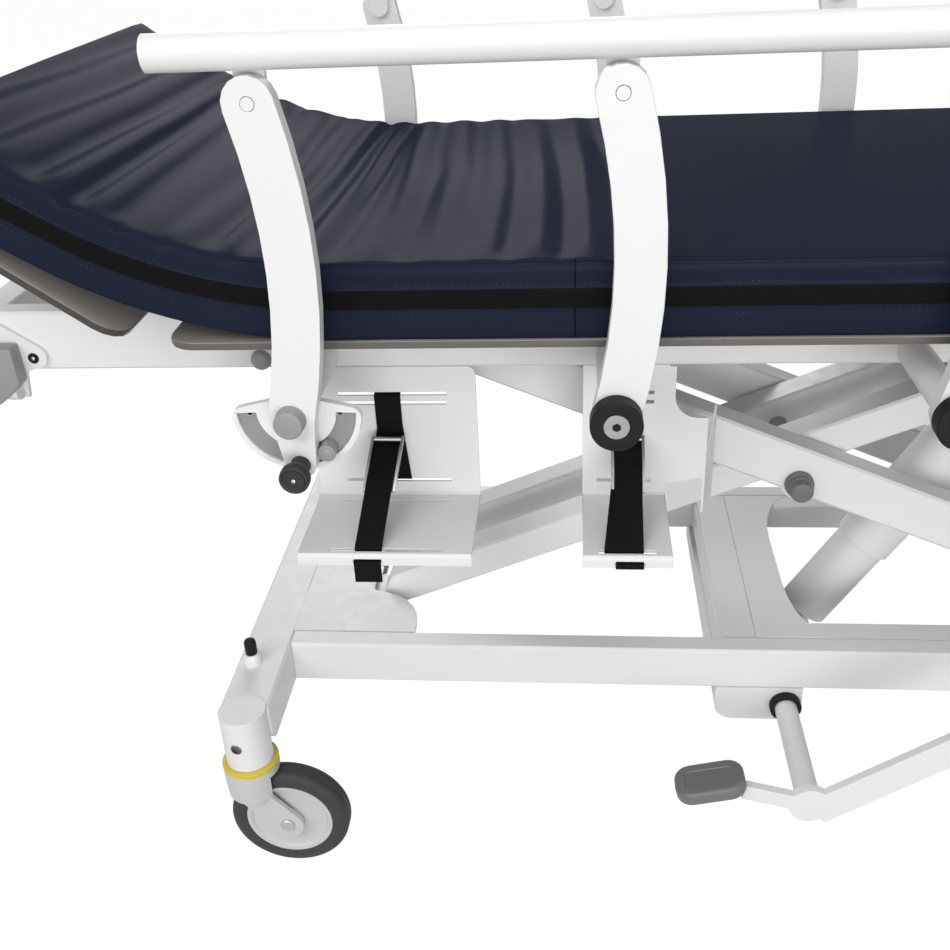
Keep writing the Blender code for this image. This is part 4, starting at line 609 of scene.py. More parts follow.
for corner in pad.verts:
    run, across, height = corner.co
    corner[sewn] = (run, across, height)
    half = MATTRESS_HALF
    share = across / half
    end = min(run, mattress_length - run)
    top = height > MATTRESS_HEIGHT - 0.0001
    if abs(share) > 0.999 or end < 1e-6:
        back = drawn_in(height)
        if abs(share) > 0.999:
            across -= math.copysign(back + crease(run, height), across)
        if end < 1e-6:
            run += back if run < 0.5 else -back
    if top:
        dome = (1.0 - share * share) * CROWN * ease(end / 0.15)
        edge = min(half - abs(across), end)
        height += dome - 0.0008 * max(0.0, 1.0 - edge / 0.010) ** 2
    corner.co = (run, across, height)
print("cover shaped, crown", CROWN)

# %% Bend it over the head hinge


def bent(point):
    """A point of the flat mattress, where it lies on the stretcher."""
    run, across, height = point
    if run <= straight_run:
        return Vector((MATTRESS_FOOT - run, across, DECK_TOP + 0.0005 + height))
    past = min(run - straight_run, bend_run)
    angle = past / BEND_RADIUS
    x = BEND_START - BEND_RADIUS * math.sin(angle)
    z = DECK_TOP + 0.0005 + BEND_RADIUS * (1.0 - math.cos(angle))
    beyond = run - straight_run - past
    x -= beyond * math.cos(angle)
    z += beyond * math.sin(angle)
    return Vector((x + height * math.sin(angle), across, z + height * math.cos(angle)))


FOLD_SPACING = 0.050


def ripple(run, across):
    """A seed for the folds: round ridges across the mattress, narrow valleys, small gathers at the seams."""
    inwards = MATTRESS_HALF - abs(across)
    along = run + 0.03 * inwards
    drift = 1.9 * noise.noise(Vector((along * 7.0, across * 1.3, 0.3)))
    ridges = abs(math.sin(math.pi * along / FOLD_SPACING + drift)) ** 1.4 - 0.55
    strength = 0.90 + 0.9 * noise.noise(Vector((along * 9.0, across * 1.2, 7.0)))
    finer = noise.noise(Vector((along * 46.0, across * 1.6, 4.0)))
    gathered = math.exp(-inwards / 0.060)
    return 0.0070 * ridges * strength + 0.0036 * finer * (0.25 + gathered)


def pucker(run, across):
    """How deep the cover is nipped in at a sewn-down point of its seam."""
    inwards = MATTRESS_HALF - abs(across)
    nip = max(near(run, spot, 0.011) for spot in PUCKERS)
    return 0.0050 * nip * nip * math.exp(-inwards / 0.012)


pad.verts.ensure_lookup_table()
flat_form = [corner.co.copy() for corner in pad.verts]
sewn_form = [Vector(corner[sewn]) for corner in pad.verts]
bent_form = []
for flat, cover in zip(flat_form, sewn_form):
    run, across, height = cover
    lift = 0.0
    if height > SEAM_HEIGHT - 0.0005:
        inwards = MATTRESS_HALF - abs(across)
        free = 0.25 + 0.75 * ease(inwards / 0.040)
        lift = ripple(run, across) * fold_share(run) * free - pucker(run, across)
    bent_form.append(bent(flat + Vector((0.0, 0.0, lift))))
for corner, place in zip(pad.verts, bent_form):
    corner.co = place
print("head end bottom corner:", [round(v, 3) for v in bent((mattress_length, 0.0, 0.0))])

# %% The cover's finish
STITCH_ROWS = (0.0272, 0.0560)
SIDE_JOIN = MATTRESS_FOOT + 0.275


def cover_finish(name, face, deep, rough):
    """Coated cloth with two rows of stitches and one join on its sides."""
    made = Finish(name, rough, specular=0.0)
    made.shader.inputs["Coat Weight"].default_value = 0.055
    made.shader.inputs["Coat Roughness"].default_value = 0.27
    sewn_place = made.node("ShaderNodeAttribute", attribute_name="cover").outputs["Vector"]
    cloudy = made.speckle(7.0, 3.0, sewn_place)
    colour = made.blend(cloudy, deep, face)
    parts = made.node("ShaderNodeSeparateXYZ")
    made.link(sewn_place, parts.inputs["Vector"])
    run, across, height = (parts.outputs[axis] for axis in "XYZ")
    side = made.sum_of("GREATER_THAN", made.sum_of("ABSOLUTE", across, 0.0), MATTRESS_HALF - 0.002)
    dash = made.sum_of("LESS_THAN", made.sum_of("FRACT", made.sum_of("DIVIDE", run, 0.0060), 0.0), 0.22)
    patchy = made.sum_of("GREATER_THAN", made.speckle(26.0, 2.0, sewn_place), 0.52)
    rows = None
    for line in STITCH_ROWS:
        off = made.sum_of("ABSOLUTE", made.sum_of("SUBTRACT", height, line), 0.0)
        on_line = made.sum_of("LESS_THAN", off, 0.00030)
        rows = on_line if rows is None else made.sum_of("ADD", rows, on_line)
    thread = made.sum_of("MULTIPLY", made.sum_of("MULTIPLY", rows, dash), patchy)
    thread = made.sum_of("MULTIPLY", thread, side)
    colour = made.blend(thread, colour, (0.075, 0.082, 0.110))
    join = made.sum_of("ABSOLUTE", made.sum_of("SUBTRACT", run, SIDE_JOIN), 0.0)
    join = made.sum_of("MULTIPLY", made.sum_of("LESS_THAN", join, 0.0011), side)
    colour = made.blend(join, colour, (0.006, 0.007, 0.011))
    made.colour(colour)
    made.roughness(made.spread(made.speckle(40.0, 3.0, sewn_place), rough - 0.05, rough + 0.06))
    grain = made.node("ShaderNodeTexVoronoi")
    grain.inputs["Scale"].default_value = 900.0
    made.link(sewn_place, grain.inputs["Vector"])
    made.relief(grain.outputs["Distance"], 0.00018, 0.35)
    return made.material


def zip_finish():
    """Black zip tape with a fine weave."""
    made = Finish("zip_tape", 0.6, specular=0.05)
    sewn_place = made.node("ShaderNodeAttribute", attribute_name="cover").outputs["Vector"]
    weave = made.speckle(800.0, 2.0, made.stretched((1.0, 1.0, 0.3), sewn_place))
    made.colour(made.blend(weave, (0.003, 0.003, 0.003), (0.007, 0.007, 0.007)))
    made.relief(weave, 0.0002, 0.6)
    return made.material


navy_cover = cover_finish("navy_cover", (0.0175, 0.0205, 0.0400), (0.0140, 0.0165, 0.0330), 0.36)
zip_tape = zip_finish()
print("cover and zip finishes ready")

# %% Let the cover settle as cloth
SPARE_COVER = 0.89


def eased_length(place):
    """A point of the flat cover, with the bend's stretch drawn up to what the stitching left spare."""
    run = place.x
    if run > straight_run:
        run = straight_run + (run - straight_run) * SPARE_COVER
    return (run, place.y, place.z)


def settle(mesh, steps=22, cap=0.006):
    """Simulates the cover from its bent form with its flat lengths, and returns how each point moved."""
    test = bpy.data.objects.new("cover_trial", mesh.copy())
    scene.collection.objects.link(test)
    test.shape_key_add(name="bent")
    sewn_key = test.shape_key_add(name="sewn")
    for point, place in zip(sewn_key.data, flat_form):
        point.co = eased_length(place)
    held = test.vertex_groups.new(name="held")
    for index, (run, across, height) in enumerate(sewn_form):
        grip = 1.0
        if height > MATTRESS_HEIGHT - 0.0001:
            inwards = MATTRESS_HALF - abs(across)
            slack = 0.85 * ease(inwards / 0.030) * fold_share(run)
            grip = 1.0 - slack * ease((mattress_length - run) / 0.05)
        held.add([index], grip, "REPLACE")
    cloth = test.modifiers.new("cloth", "CLOTH")
    rules = cloth.settings
    rules.quality = 6
    rules.mass = 0.2
    rules.tension_stiffness = 18.0
    rules.compression_stiffness = 18.0
    rules.shear_stiffness = 6.0
    rules.bending_stiffness = 12.0
    rules.tension_damping = 12.0
    rules.compression_damping = 12.0
    rules.bending_damping = 1.0
    rules.air_damping = 3.0
    rules.pin_stiffness = 4.0
    rules.vertex_group_mass = "held"
    rules.rest_shape_key = sewn_key
    rules.effector_weights.gravity = 0.0
    rules.use_pressure = True
    rules.uniform_pressure_force = 1.5
    cloth.collision_settings.use_collision = False
    for step in range(1, steps + 1):
        scene.frame_set(step)
    settled = test.evaluated_get(bpy.context.evaluated_depsgraph_get()).data
    moves = []
    for point, place in zip(settled.vertices, bent_form):
        move = point.co - place
        if move.length > cap:
            move *= cap / move.length
        moves.append(move)
    scene.frame_set(1)
    bpy.data.objects.remove(test, do_unlink=True)
    return moves


for face in pad.faces:
    heights = [corner[sewn].z for corner in face.verts]
    on_side = min(heights) >= ZIP_ROWS[0] - 0.0002 and max(heights) <= ZIP_ROWS[1] + 0.0002
    face.material_index = 1 if on_side and max(heights) - min(heights) > 0.001 else 0
    face.smooth = True
bmesh.ops.recalc_face_normals(pad, faces=pad.faces)
mattress_mesh = bpy.data.meshes.new("mattress")
pad.to_mesh(mattress_mesh)
pad.free()
moves = settle(mattress_mesh)
for point, move in zip(mattress_mesh.vertices, moves):
    point.co += move
print("furthest a point of the cover moved:", round(max(move.length for move in moves), 4))
pressed = bmesh.new()
pressed.from_mesh(mattress_mesh)
pressed.verts.ensure_lookup_table()
slack = []
for corner, (run, across, height) in zip(pressed.verts, sewn_form):
    if height > MATTRESS_HEIGHT - 0.0001 and abs(across) < MATTRESS_HALF - 0.010:
        slack.append(corner)
for sweep in range(2):
    bmesh.ops.smooth_vert(
        pressed, verts=slack, factor=0.5, use_axis_x=True, use_axis_y=True, use_axis_z=True
    )
pressed.to_mesh(mattress_mesh)
pressed.free()
mattress_mesh.materials.append(navy_cover)
mattress_mesh.materials.append(zip_tape)
mattress = bpy.data.objects.new("mattress", mattress_mesh)
scene.collection.objects.link(mattress)
smooth = mattress.modifiers.new("smooth", "SUBSURF")
smooth.levels = 1
smooth.render_levels = 1
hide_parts("mattress_main", "mattress_bend", "mattress_head")
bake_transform(mattress)
print("mattress faces before smoothing:", len(mattress_mesh.polygons))

# %% [markdown]
# ## Rail fittings
# Each rail arm turns on a pin that a cap closes: the first arm has a small stepped grey cap,
# the others a thick black disc. These are turned shapes, so each one is a profile and a spin.
# A plated screw holds each disc, and its face is bridged to a hexagon for the key.

# %% Discs and caps on the rail pins
ARM_FACE = 0.3685
rail_pivot = {}
for side_name, side in SIDES:
    rail_pivot[side_name] = [joint_place[f"rail_fold_{side_name}"]]
    rail_pivot[side_name] += [joint_place[f"rail_follow_{side_name}_{n}"] for n in (2, 3)]

DISC_HEIGHT = 0.0183
DISC = [(0.0, -0.0007), (0.0252, -0.0007), (0.0256, -0.0003), (0.0256, DISC_HEIGHT - 0.0023)]
DISC += rounded((0.0256, DISC_HEIGHT - 0.0017), (0.0255, DISC_HEIGHT), (0.0238, DISC_HEIGHT), 4)
DISC += rounded((0.0140, DISC_HEIGHT), (0.0132, DISC_HEIGHT), (0.0131, DISC_HEIGHT - 0.0009), 3)
DISC += [(0.0, DISC_HEIGHT - 0.0011)]
CAP = [(0.0, -0.0007), (0.0153, -0.0007), (0.0154, 0.0030), (0.0150, 0.0040), (0.0148, 0.0042)]
CAP += rounded((0.0148, 0.0128), (0.0147, 0.0154), (0.0116, 0.0156), 5) + [(0.0, 0.0160)]


def screw_head(radius, socket, depth):
    """A flat round head whose face is bridged to a hexagon, which is then sunk to make the socket."""
    bm = bmesh.new()
    bmesh.ops.create_circle(bm, segments=48, radius=radius - 0.0006)
    rim = bm.edges[:]
    bmesh.ops.create_circle(bm, segments=6, radius=socket)
    key = [edge for edge in bm.edges if edge not in rim]
    bmesh.ops.bridge_loops(bm, edges=rim + key)
    for edges, drop, grow in ((rim, 0.0006, radius / (radius - 0.0006)), (key, depth, 0.96)):
        grown = bmesh.ops.extrude_edge_only(bm, edges=edges)["geom"]
        corners = [item for item in grown if isinstance(item, bmesh.types.BMVert)]
        bmesh.ops.scale(bm, vec=(grow, grow, 1.0), verts=corners)
        bmesh.ops.translate(bm, vec=(0.0, 0.0, -drop), verts=corners)
    bmesh.ops.contextual_create(bm, geom=corners)
    return bm


for side_name, side in SIDES:
    axis = (0.0, side, 0.0)
    for number, pivot in enumerate(rail_pivot[side_name], 1):
        place = Vector((pivot.x, side * ARM_FACE, pivot.z))
        label = f"{side_name}_{number}"
        if number == 1:
            place_turned(f"rail_cap_{label}", CAP, place, axis, cap_plastic, "frame")
            continue
        place_turned(f"rail_disc_{label}", DISC, place, axis, black_plastic, "frame")
        bm = screw_head(0.0128, 0.0046, 0.0030)
        face = Vector((place.x, side * (ARM_FACE + DISC_HEIGHT - 0.0001), place.z))
        bmesh.ops.transform(bm, matrix=towards(face, axis), verts=bm.verts)
        make_piece(f"disc_screw_{label}", bm, washer_steel, "frame")
print("rail pins capped:", 6)

# %% [markdown]
# The lock's knob is pulled to free the rail. It is turned from its pin to its dished face, with
# a fine ring and a bright rivet in the middle. The plate behind it has a grey slide track, two
# drilled stops at the track's ends and a grey peg. A flat black disc in each stop's bush is
# painted shade for its drilled hole.

# %% Lock knobs
LOCK_RADIUS = 0.051
LOCK_ANGLE = math.radians(-85.9)
KNOB_START = 0.3680
PIN_TIP = 0.3445
RIVET_SEAT = 0.4012


def knob_profile():
    """Pin, neck and dished head, as heights out from the pin's tip."""
    neck = KNOB_START - PIN_TIP
    line = [(0.0, 0.0), (0.0049, 0.0), (0.0049, neck), (0.0105, neck)]
    line += [(0.0103, neck + 0.006), (0.0098, neck + 0.012)]
    line += rounded((0.0098, neck + 0.014), (0.0100, neck + 0.018), (0.0135, neck + 0.0205), 4)
    line += rounded((0.0148, neck + 0.0215), (0.0158, neck + 0.0225), (0.0156, neck + 0.0265), 4)
    line += rounded((0.0155, neck + 0.0300), (0.0154, neck + 0.0332), (0.0128, neck + 0.0336), 4)
    line += [(0.0112, neck + 0.0328), (0.0108, neck + 0.0334), (0.0, neck + 0.0338)]
    return line


RIVET = [(0.0, 0.0), (0.0022, 0.0), (0.0021, 0.0008), (0.0012, 0.0013), (0.0, 0.0015)]
for side_name, side in SIDES:
    pivot = rail_pivot[side_name][0]
    x = pivot.x + LOCK_RADIUS * math.cos(LOCK_ANGLE)
    z = pivot.z + LOCK_RADIUS * math.sin(LOCK_ANGLE)
    axis = (0.0, side, 0.0)
    body = f"plunger_{side_name}"
    tip = (x, side * PIN_TIP, z)
    knob = place_turned(f"lock_knob_{side_name}", knob_profile(), tip, axis, knob_plastic, body)
    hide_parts(f"lock_plunger_{side_name}")
    place_turned(f"knob_rivet_{side_name}", RIVET, (x, side * RIVET_SEAT, z), axis, steel, body, 24)
print("lock knobs:", 2)

# %% Slide track, stops and peg on each lock plate
TRACK_INNER = 0.0412
TRACK_OUTER = 0.0613
PLATE_FACE = 0.3482
TRACK_FLOOR = PLATE_FACE - 0.004
TRACK_START = math.radians(177.5)
TRACK_SWEEP = math.radians(175.0)
STOP_PEG_ANGLE = math.radians(-54.0)
PEG = [(0.0, 0.0), (0.0092, 0.0), (0.0092, 0.0165)]
PEG += rounded((0.0092, 0.0172), (0.0091, 0.0183), (0.0082, 0.0184), 3)
PEG += [(0.0064, 0.0185), (0.0062, 0.0192), (0.0052, 0.0198), (0.0, 0.0200)]
BUSH = [(0.0028, 0.0), (0.0041, 0.0), (0.0041, 0.0013), (0.0037, 0.0016), (0.0030, 0.0016), (0.0028, 0.0)]
# A flat black disc set inside each bush: painted shade standing in for the drilled hole.
DRILLED_HOLE_SHADE = [(0.0, 0.0), (0.0028, 0.0), (0.0028, 0.0011), (0.0, 0.0011)]


def track_strip(side, pivot):
    """A crescent: one short radial edge spun through the track's sweep, then given thickness."""
    bm = bmesh.new()
    ends = [bm.verts.new((radius, 0.0, 0.0)) for radius in (TRACK_INNER, TRACK_OUTER)]
    edge = bm.edges.new(ends)
    start = Matrix.Rotation(TRACK_START, 3, "Y")
    bmesh.ops.rotate(bm, verts=ends, cent=(0, 0, 0), matrix=start)
    bmesh.ops.spin(
        bm,
        geom=ends + [edge],
        cent=(0, 0, 0),
        axis=(0, -1, 0),
        angle=TRACK_SWEEP,
        steps=60,
    )
    bmesh.ops.recalc_face_normals(bm, faces=bm.faces)
    bmesh.ops.solidify(bm, geom=bm.faces[:], thickness=0.0006)
    out = Matrix.Translation((pivot.x, side * (TRACK_FLOOR + 0.0005), pivot.z))
    bmesh.ops.transform(bm, matrix=out, verts=bm.verts)
    return bm


for side_name, side in SIDES:
    pivot = rail_pivot[side_name][0]
    axis = (0.0, side, 0.0)
    make_piece(f"slide_track_{side_name}", track_strip(side, pivot), track_plastic, "frame")
    peg = Vector((math.cos(STOP_PEG_ANGLE), 0.0, math.sin(STOP_PEG_ANGLE))) * LOCK_RADIUS
    peg += Vector((pivot.x, side * TRACK_FLOOR, pivot.z))
    place_turned(f"stop_peg_{side_name}", PEG, peg, axis, cap_plastic, "frame", 48)
    for label, x in (("head", -0.0480), ("foot", 0.0448)):
        spot = (pivot.x + x, side * TRACK_FLOOR, pivot.z - 0.0026)
        stop = f"{side_name}_{label}"
        place_turned(f"track_stop_{stop}", BUSH, spot, axis, steel, "frame", 32)
        # The black disc is painted shade for the hole, not a separate black part.
        place_turned(f"track_hole_{stop}", DRILLED_HOLE_SHADE, spot, axis, black_plastic, "frame", 24)
print("lock plates dressed:", 2)

# %% [markdown]
# ## Small turned parts of the frame
# Grey caps close the scissor's centre pivot and a hole in each side beam, and a black rubber
# buffer on a small flared boss stops the platform at each corner of the base.

# %% Pivot caps, beam plugs and buffers
PIVOT_CAP = [(0.0, 0.0), (0.0174, 0.0), (0.0176, 0.0010), (0.0175, 0.0064), (0.0168, 0.0072)]
PIVOT_CAP += [(0.0158, 0.0074), (0.0156, 0.0140), (0.0150, 0.0148), (0.0138, 0.0150)]
PIVOT_CAP += rounded((0.0136, 0.0230), (0.0135, 0.0262), (0.0104, 0.0264), 5) + [(0.0, 0.0267)]
PLUG_X = -0.6255
PLUG_Z = 0.6435
PLUG = [(0.0, -0.0004), (0.0117, -0.0004), (0.0117, 0.0010)]
PLUG += rounded((0.0117, 0.0014), (0.0116, 0.0078), (0.0030, 0.0083), 7) + [(0.0, 0.0084)]
BUFFER = [(0.0, 0.0), (0.0074, 0.0), (0.0076, 0.0040), (0.0077, 0.0130)]
BUFFER += rounded((0.0077, 0.0150), (0.0077, 0.0215), (0.0, 0.0218), 7)
COLLAR_HEIGHT = 0.0070
COLLAR = [(0.0, 0.0), (0.0124, 0.0), (0.0122, 0.0010), (0.0106, 0.0036), (0.0099, 0.0062)]
COLLAR += [(0.0090, COLLAR_HEIGHT), (0.0, COLLAR_HEIGHT)]

for side_name, side in SIDES:
    low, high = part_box(f"pivot_cap_{side_name}")
    start = min(abs(low[1]), abs(high[1]))
    middle = (Vector(low) + Vector(high)) / 2
    place = (middle.x, side * start, middle.z)
    axis = (0, side, 0)
    cap = place_turned(f"scissor_cap_{side_name}", PIVOT_CAP, place, axis, grey_plastic, "outer_scissor")
    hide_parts(f"pivot_cap_{side_name}")
    plug_place = (PLUG_X, side * BEAM_FACE, PLUG_Z)
    place_turned(f"beam_plug_{side_name}", PLUG, plug_place, axis, cap_plastic, "frame", 48)
BOSS_TOP = 0.249
BUFFER_X = 0.684
BUFFER_Y = 0.2455
for label, end, side in CORNERS:
    place = (end * BUFFER_X, side * BUFFER_Y, BOSS_TOP)
    place_turned(f"buffer_boss_{label}", COLLAR, place, (0, 0, 1), white_paint, "base", 48)
    raised = (place[0], place[1], BOSS_TOP + COLLAR_HEIGHT)
    place_turned(f"buffer_{label}", BUFFER, raised, (0, 0, 1), black_plastic, "base", 40)
print("buffers:", 4)

# %% [markdown]
# The base's head end has a web plate that joins its two corner plates. It is one outline with
# a round inside corner at each end, extruded down to the plate's thickness. A flat seat on the
# cross member brings it level with the centre plate, so that only a fine joint shows, and a
# flange along each side tube carries the centre plate on towards the foot end.

# %% Web plate, seat and flanges of the base
WEB_HEAD_X = -0.6500
WEB_FOOT_X = -0.5540
WEB_REACH = 0.0900
WEB_INNER = 0.0868
WEB_CORNER = 0.0120
WEB_TOP = BASE_TOP - 0.0006
WEB_THICKNESS = 0.0040
wide = WEB_FOOT_X + WEB_CORNER
half_outline = [(WEB_HEAD_X, WEB_REACH), (wide, WEB_REACH)]
half_outline += rounded((wide, WEB_INNER), (WEB_FOOT_X, WEB_INNER), (WEB_FOOT_X, WEB_INNER - WEB_CORNER), 8)
outline = half_outline + [(x, -y) for x, y in reversed(half_outline)]


def flat_plate(name, outline, top, thickness):
    """A flat outline, extruded down to its thickness."""
    bm = extruded(bmesh.new(), [(x, y, top) for x, y in outline], (0.0, 0.0, -thickness))
    return make_piece(name, bm, white_paint, "base")


flat_plate("base_web", outline, WEB_TOP, WEB_THICKNESS)
member_low, member_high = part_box("base_cross_member")
SEAT_TOP = BASE_TOP - 0.0012
seat_half = member_high[1] - 0.0005
seat_head = member_low[0] + 0.0030
seat_foot = member_high[0] - 0.0003
seat = [(seat_head, -seat_half), (seat_foot, -seat_half), (seat_foot, seat_half), (seat_head, seat_half)]
flat_plate("cross_member_seat", seat, SEAT_TOP, SEAT_TOP - member_high[2] + 0.0002)
FLANGE_WIDTH = 0.0300
FLANGE_HEAD_X = 0.0300
FLANGE_FOOT_X = 0.3000
FLANGE_CORNER = 0.0200
for side_name, side in SIDES:
    outer = side * (seat_half + 0.0002)
    inner = side * (seat_half - FLANGE_WIDTH)
    flange = [(FLANGE_HEAD_X, outer), (FLANGE_HEAD_X, inner)]
    corner_start = (FLANGE_FOOT_X - FLANGE_CORNER, inner)
    flange += rounded(corner_start, (FLANGE_FOOT_X, inner), (FLANGE_FOOT_X, outer), 8)
    flat_plate(f"tube_flange_{side_name}", flange, WEB_TOP, WEB_THICKNESS)
print("web plate width:", round(WEB_FOOT_X - WEB_HEAD_X, 4))

# %% [markdown]
# The push bar at the head end plugs into a moulded grey socket on each bracket. A prism of the
# socket's outline is extruded outwards and its edges are rolled over with a bevel. One screw
# with a dark seat holds each bracket.

# %% Push bar sockets and screws
SOCKET_OUTLINE = ((-0.9025, 0.6690), (-0.9010, 0.6262), (-0.9103, 0.6155), (-0.9317, 0.5999))
SOCKET_OUTLINE += ((-0.9560, 0.5960), (-0.9640, 0.6100), (-0.9640, 0.6600), (-0.9560, 0.6700))
SOCKET_BACK = BEAM_FACE + 0.0056
SOCKET_FRONT = BEAM_FACE + 0.0270
SEAT = [(0.0, -0.0004), (0.0064, -0.0004), (0.0063, 0.0008), (0.0052, 0.0014), (0.0046, 0.0010)]
SEAT += [(0.0, 0.0009)]
BRACKET_FACE = BEAM_FACE + 0.0053
SCREW_X = -0.8888
SCREW_Z = 0.6493
for side_name, side in SIDES:
    outline = [(x, side * SOCKET_BACK, z) for x, z in SOCKET_OUTLINE]
    bm = extruded(bmesh.new(), outline, (0.0, side * (SOCKET_FRONT - SOCKET_BACK), 0.0))
    bmesh.ops.recalc_face_normals(bm, faces=bm.faces)
    bmesh.ops.bevel(bm, geom=bm.edges[:], offset=0.0026, segments=4, profile=0.5, affect="EDGES", material=-1)
    make_piece(f"bar_socket_{side_name}", bm, cap_plastic, "frame", 40.0)
    spot = Vector((SCREW_X, side * BRACKET_FACE, SCREW_Z))
    place_turned(f"socket_seat_{side_name}", SEAT, spot, (0, side, 0), black_plastic, "frame", 32)
    spot.y += side * 0.0008
    place_turned(f"bracket_screw_{side_name}", RIVET, spot, (0, side, 0), steel, "frame", 24)
print("push bar sockets:", 2)

# %% [markdown]
# The upper half of the lift's ram is a painted sleeve that slides over the cylinder. It is a
# thin turned cup, so the bright rod still shows where it comes out of the cup's end.

# %% Sleeve on the lift's rod
RAM_FOOT = Vector((0.045, 0.0, BASE_TOP - 0.095))
RAM_HEAD = Vector((0.245, 0.0, BASE_TOP + 0.225))
SLEEVE = [(0.0368, -0.2257), (0.0386, -0.2257), (0.0393, -0.2250)]
SLEEVE += rounded((0.0393, -0.0475), (0.0393, -0.0452), (0.0388, -0.0440), 4)
SLEEVE += [(0.0278, -0.0166)]
SLEEVE += rounded((0.0274, -0.0158), (0.0270, -0.0152), (0.0262, -0.0151), 3)
SLEEVE += [(0.0168, -0.0151), (0.0168, -0.0170), (0.0262, -0.0172), (0.0384, -0.0470), (0.0368, -0.2257)]
ram_axis = (RAM_HEAD - RAM_FOOT).normalized()
place_turned("rod_sleeve", SLEEVE, RAM_HEAD, ram_axis, white_paint, "rod", 72)
print("sleeve length:", round(SLEEVE[-2][1] - SLEEVE[0][1], 3))

# %% [markdown]
# ## Castors
# A hood covers the upper part of each wheel, with two cheeks inside it that carry the axle and
# a yellow ring above it that marks the brake. The hood is a spun profile: a full turn for the
# crown, and less than a full turn below it, which leaves the opening for the wheel.

# %% Castor hoods
HOOD_CROWN = [(0.0, -0.0132), (0.0338, -0.0132), (0.0346, -0.0140), (0.0347, -0.0228), (0.0, -0.0228)]
HOOD = [(0.0347, -0.0226), (0.0345, -0.0340), (0.0334, -0.0560), (0.0312, -0.0560), (0.0322, -0.0226)]
HOOD_OPENING = math.radians(36.0)
CHEEK_FACES = (0.0176, 0.0234)
AXLE_BOSS = 0.0200
AXLE_BOLT = [(0.0, -0.0004), (0.0092, -0.0004), (0.0092, 0.0016), (0.0080, 0.0030), (0.0, 0.0034)]


def hood_shell(bm):
    """The closed hood profile, spun from one side of the wheel's opening round to the other."""
    ring = [bm.verts.new((radius, 0.0, height)) for radius, height in HOOD]
    loop = [bm.edges.new(pair) for pair in zip(ring, ring[1:] + ring[:1])]
    bmesh.ops.rotate(bm, verts=ring, cent=(0, 0, 0), matrix=Matrix.Rotation(HOOD_OPENING, 3, "Z"))
    bmesh.ops.spin(
        bm,
        geom=ring + loop,
        cent=(0, 0, 0),
        axis=(0, 0, 1),
        angle=2 * (math.pi - HOOD_OPENING),
        steps=60,
    )
    bmesh.ops.holes_fill(bm, edges=[edge for edge in bm.edges if edge.is_boundary], sides=0)


def cheek(bm, trail, drop, side):
    """One side plate of the fork: straight under the crown, with a round boss at the axle."""
    outline = [(0.0220, -0.0226), (-0.0210, -0.0226), (-0.0210, -0.0520)]
    for step in range(9):
        angle = math.radians(215.0 + 175.0 * step / 8)
        outline.append((trail + AXLE_BOSS * math.cos(angle), drop + AXLE_BOSS * math.sin(angle)))
    outline.append((0.0220, -0.0480))
    near_face, far_face = (side * face for face in CHEEK_FACES)
    extruded(bm, [(x, near_face, z) for x, z in outline], (0.0, far_face - near_face, 0.0))


for label, end, side in CORNERS:
    swivel = joint_place[f"swivel_{label}"]
    axle = joint_place[f"spin_{label}"] - swivel
    castor = f"castor_{label}"
    bm = turn(HOOD_CROWN, 72)
    hood_shell(bm)
    for cheek_side in (-1.0, 1.0):
        cheek(bm, axle.x, axle.z, cheek_side)
    bmesh.ops.translate(bm, verts=bm.verts, vec=swivel)
    hood = make_piece(f"castor_hood_{label}", bm, castor_plastic, castor)
    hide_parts(f"castor_body_{label}")
    for number, cheek_side in ((1, -1.0), (2, 1.0)):
        spot = swivel + axle + Vector((0.0, cheek_side * CHEEK_FACES[1], 0.0))
        bolt = f"axle_bolt_{label}_{number}"
        place_turned(bolt, AXLE_BOLT, spot, (0, cheek_side, 0), steel, castor, 32)
print("castor hoods:", 4)

# %% [markdown]
# The tyre has a rounded tread with two fine grooves and the hub is dished, so both are profiles
# spun about the axle. The stem's white sleeve ends just above the brake ring.

# %% Castor sleeves, rings, socket screws, tyres and hubs
SLEEVE_END = -0.0064
STEM_SLEEVE = [(0.0200, 0.0220), (0.0286, 0.0220), (0.0288, 0.0180), (0.0288, SLEEVE_END + 0.0006)]
STEM_SLEEVE += [(0.0282, SLEEVE_END), (0.0200, SLEEVE_END), (0.0200, 0.0220)]
RING = [(0.0100, 0.0), (0.0342, 0.0), (0.0348, 0.0008), (0.0348, 0.0034), (0.0342, 0.0048)]
RING += [(0.0325, 0.0058), (0.0293, 0.0062), (0.0100, 0.0062), (0.0100, 0.0)]
RING_DROP = 0.0128
SCREW_RISE = 0.0293
STEM_RADIUS = 0.0284
SOCKET_SCREW = [(0.0, -0.0006), (0.0068, -0.0006), (0.0068, 0.0006)]
SOCKET_SCREW += [(0.0060, 0.0014), (0.0040, 0.0016), (0.0036, 0.0002), (0.0, 0.0002)]
TYRE = [(0.0530, 0.0128), (0.0560, 0.0150), (0.0640, 0.0158), (0.0695, 0.0146)]
TYRE += rounded((0.0715, 0.0132), (0.0748, 0.0110), (0.0750, 0.0062), 5)
TYRE += [(0.0741, 0.0056), (0.0741, 0.0048), (0.0750, 0.0042), (0.0750, 0.0)]
TYRE += [(radius, -width) for radius, width in reversed(TYRE[:-1])] + [TYRE[0]]
HUB = [(0.0066, 0.0158), (0.0150, 0.0160), (0.0162, 0.0150), (0.0175, 0.0118), (0.0400, 0.0096)]
HUB += [(0.0470, 0.0108), (0.0500, 0.0138), (0.0545, 0.0142), (0.0552, 0.0128)]
HUB += [(radius, -width) for radius, width in reversed(HUB)] + [HUB[0]]
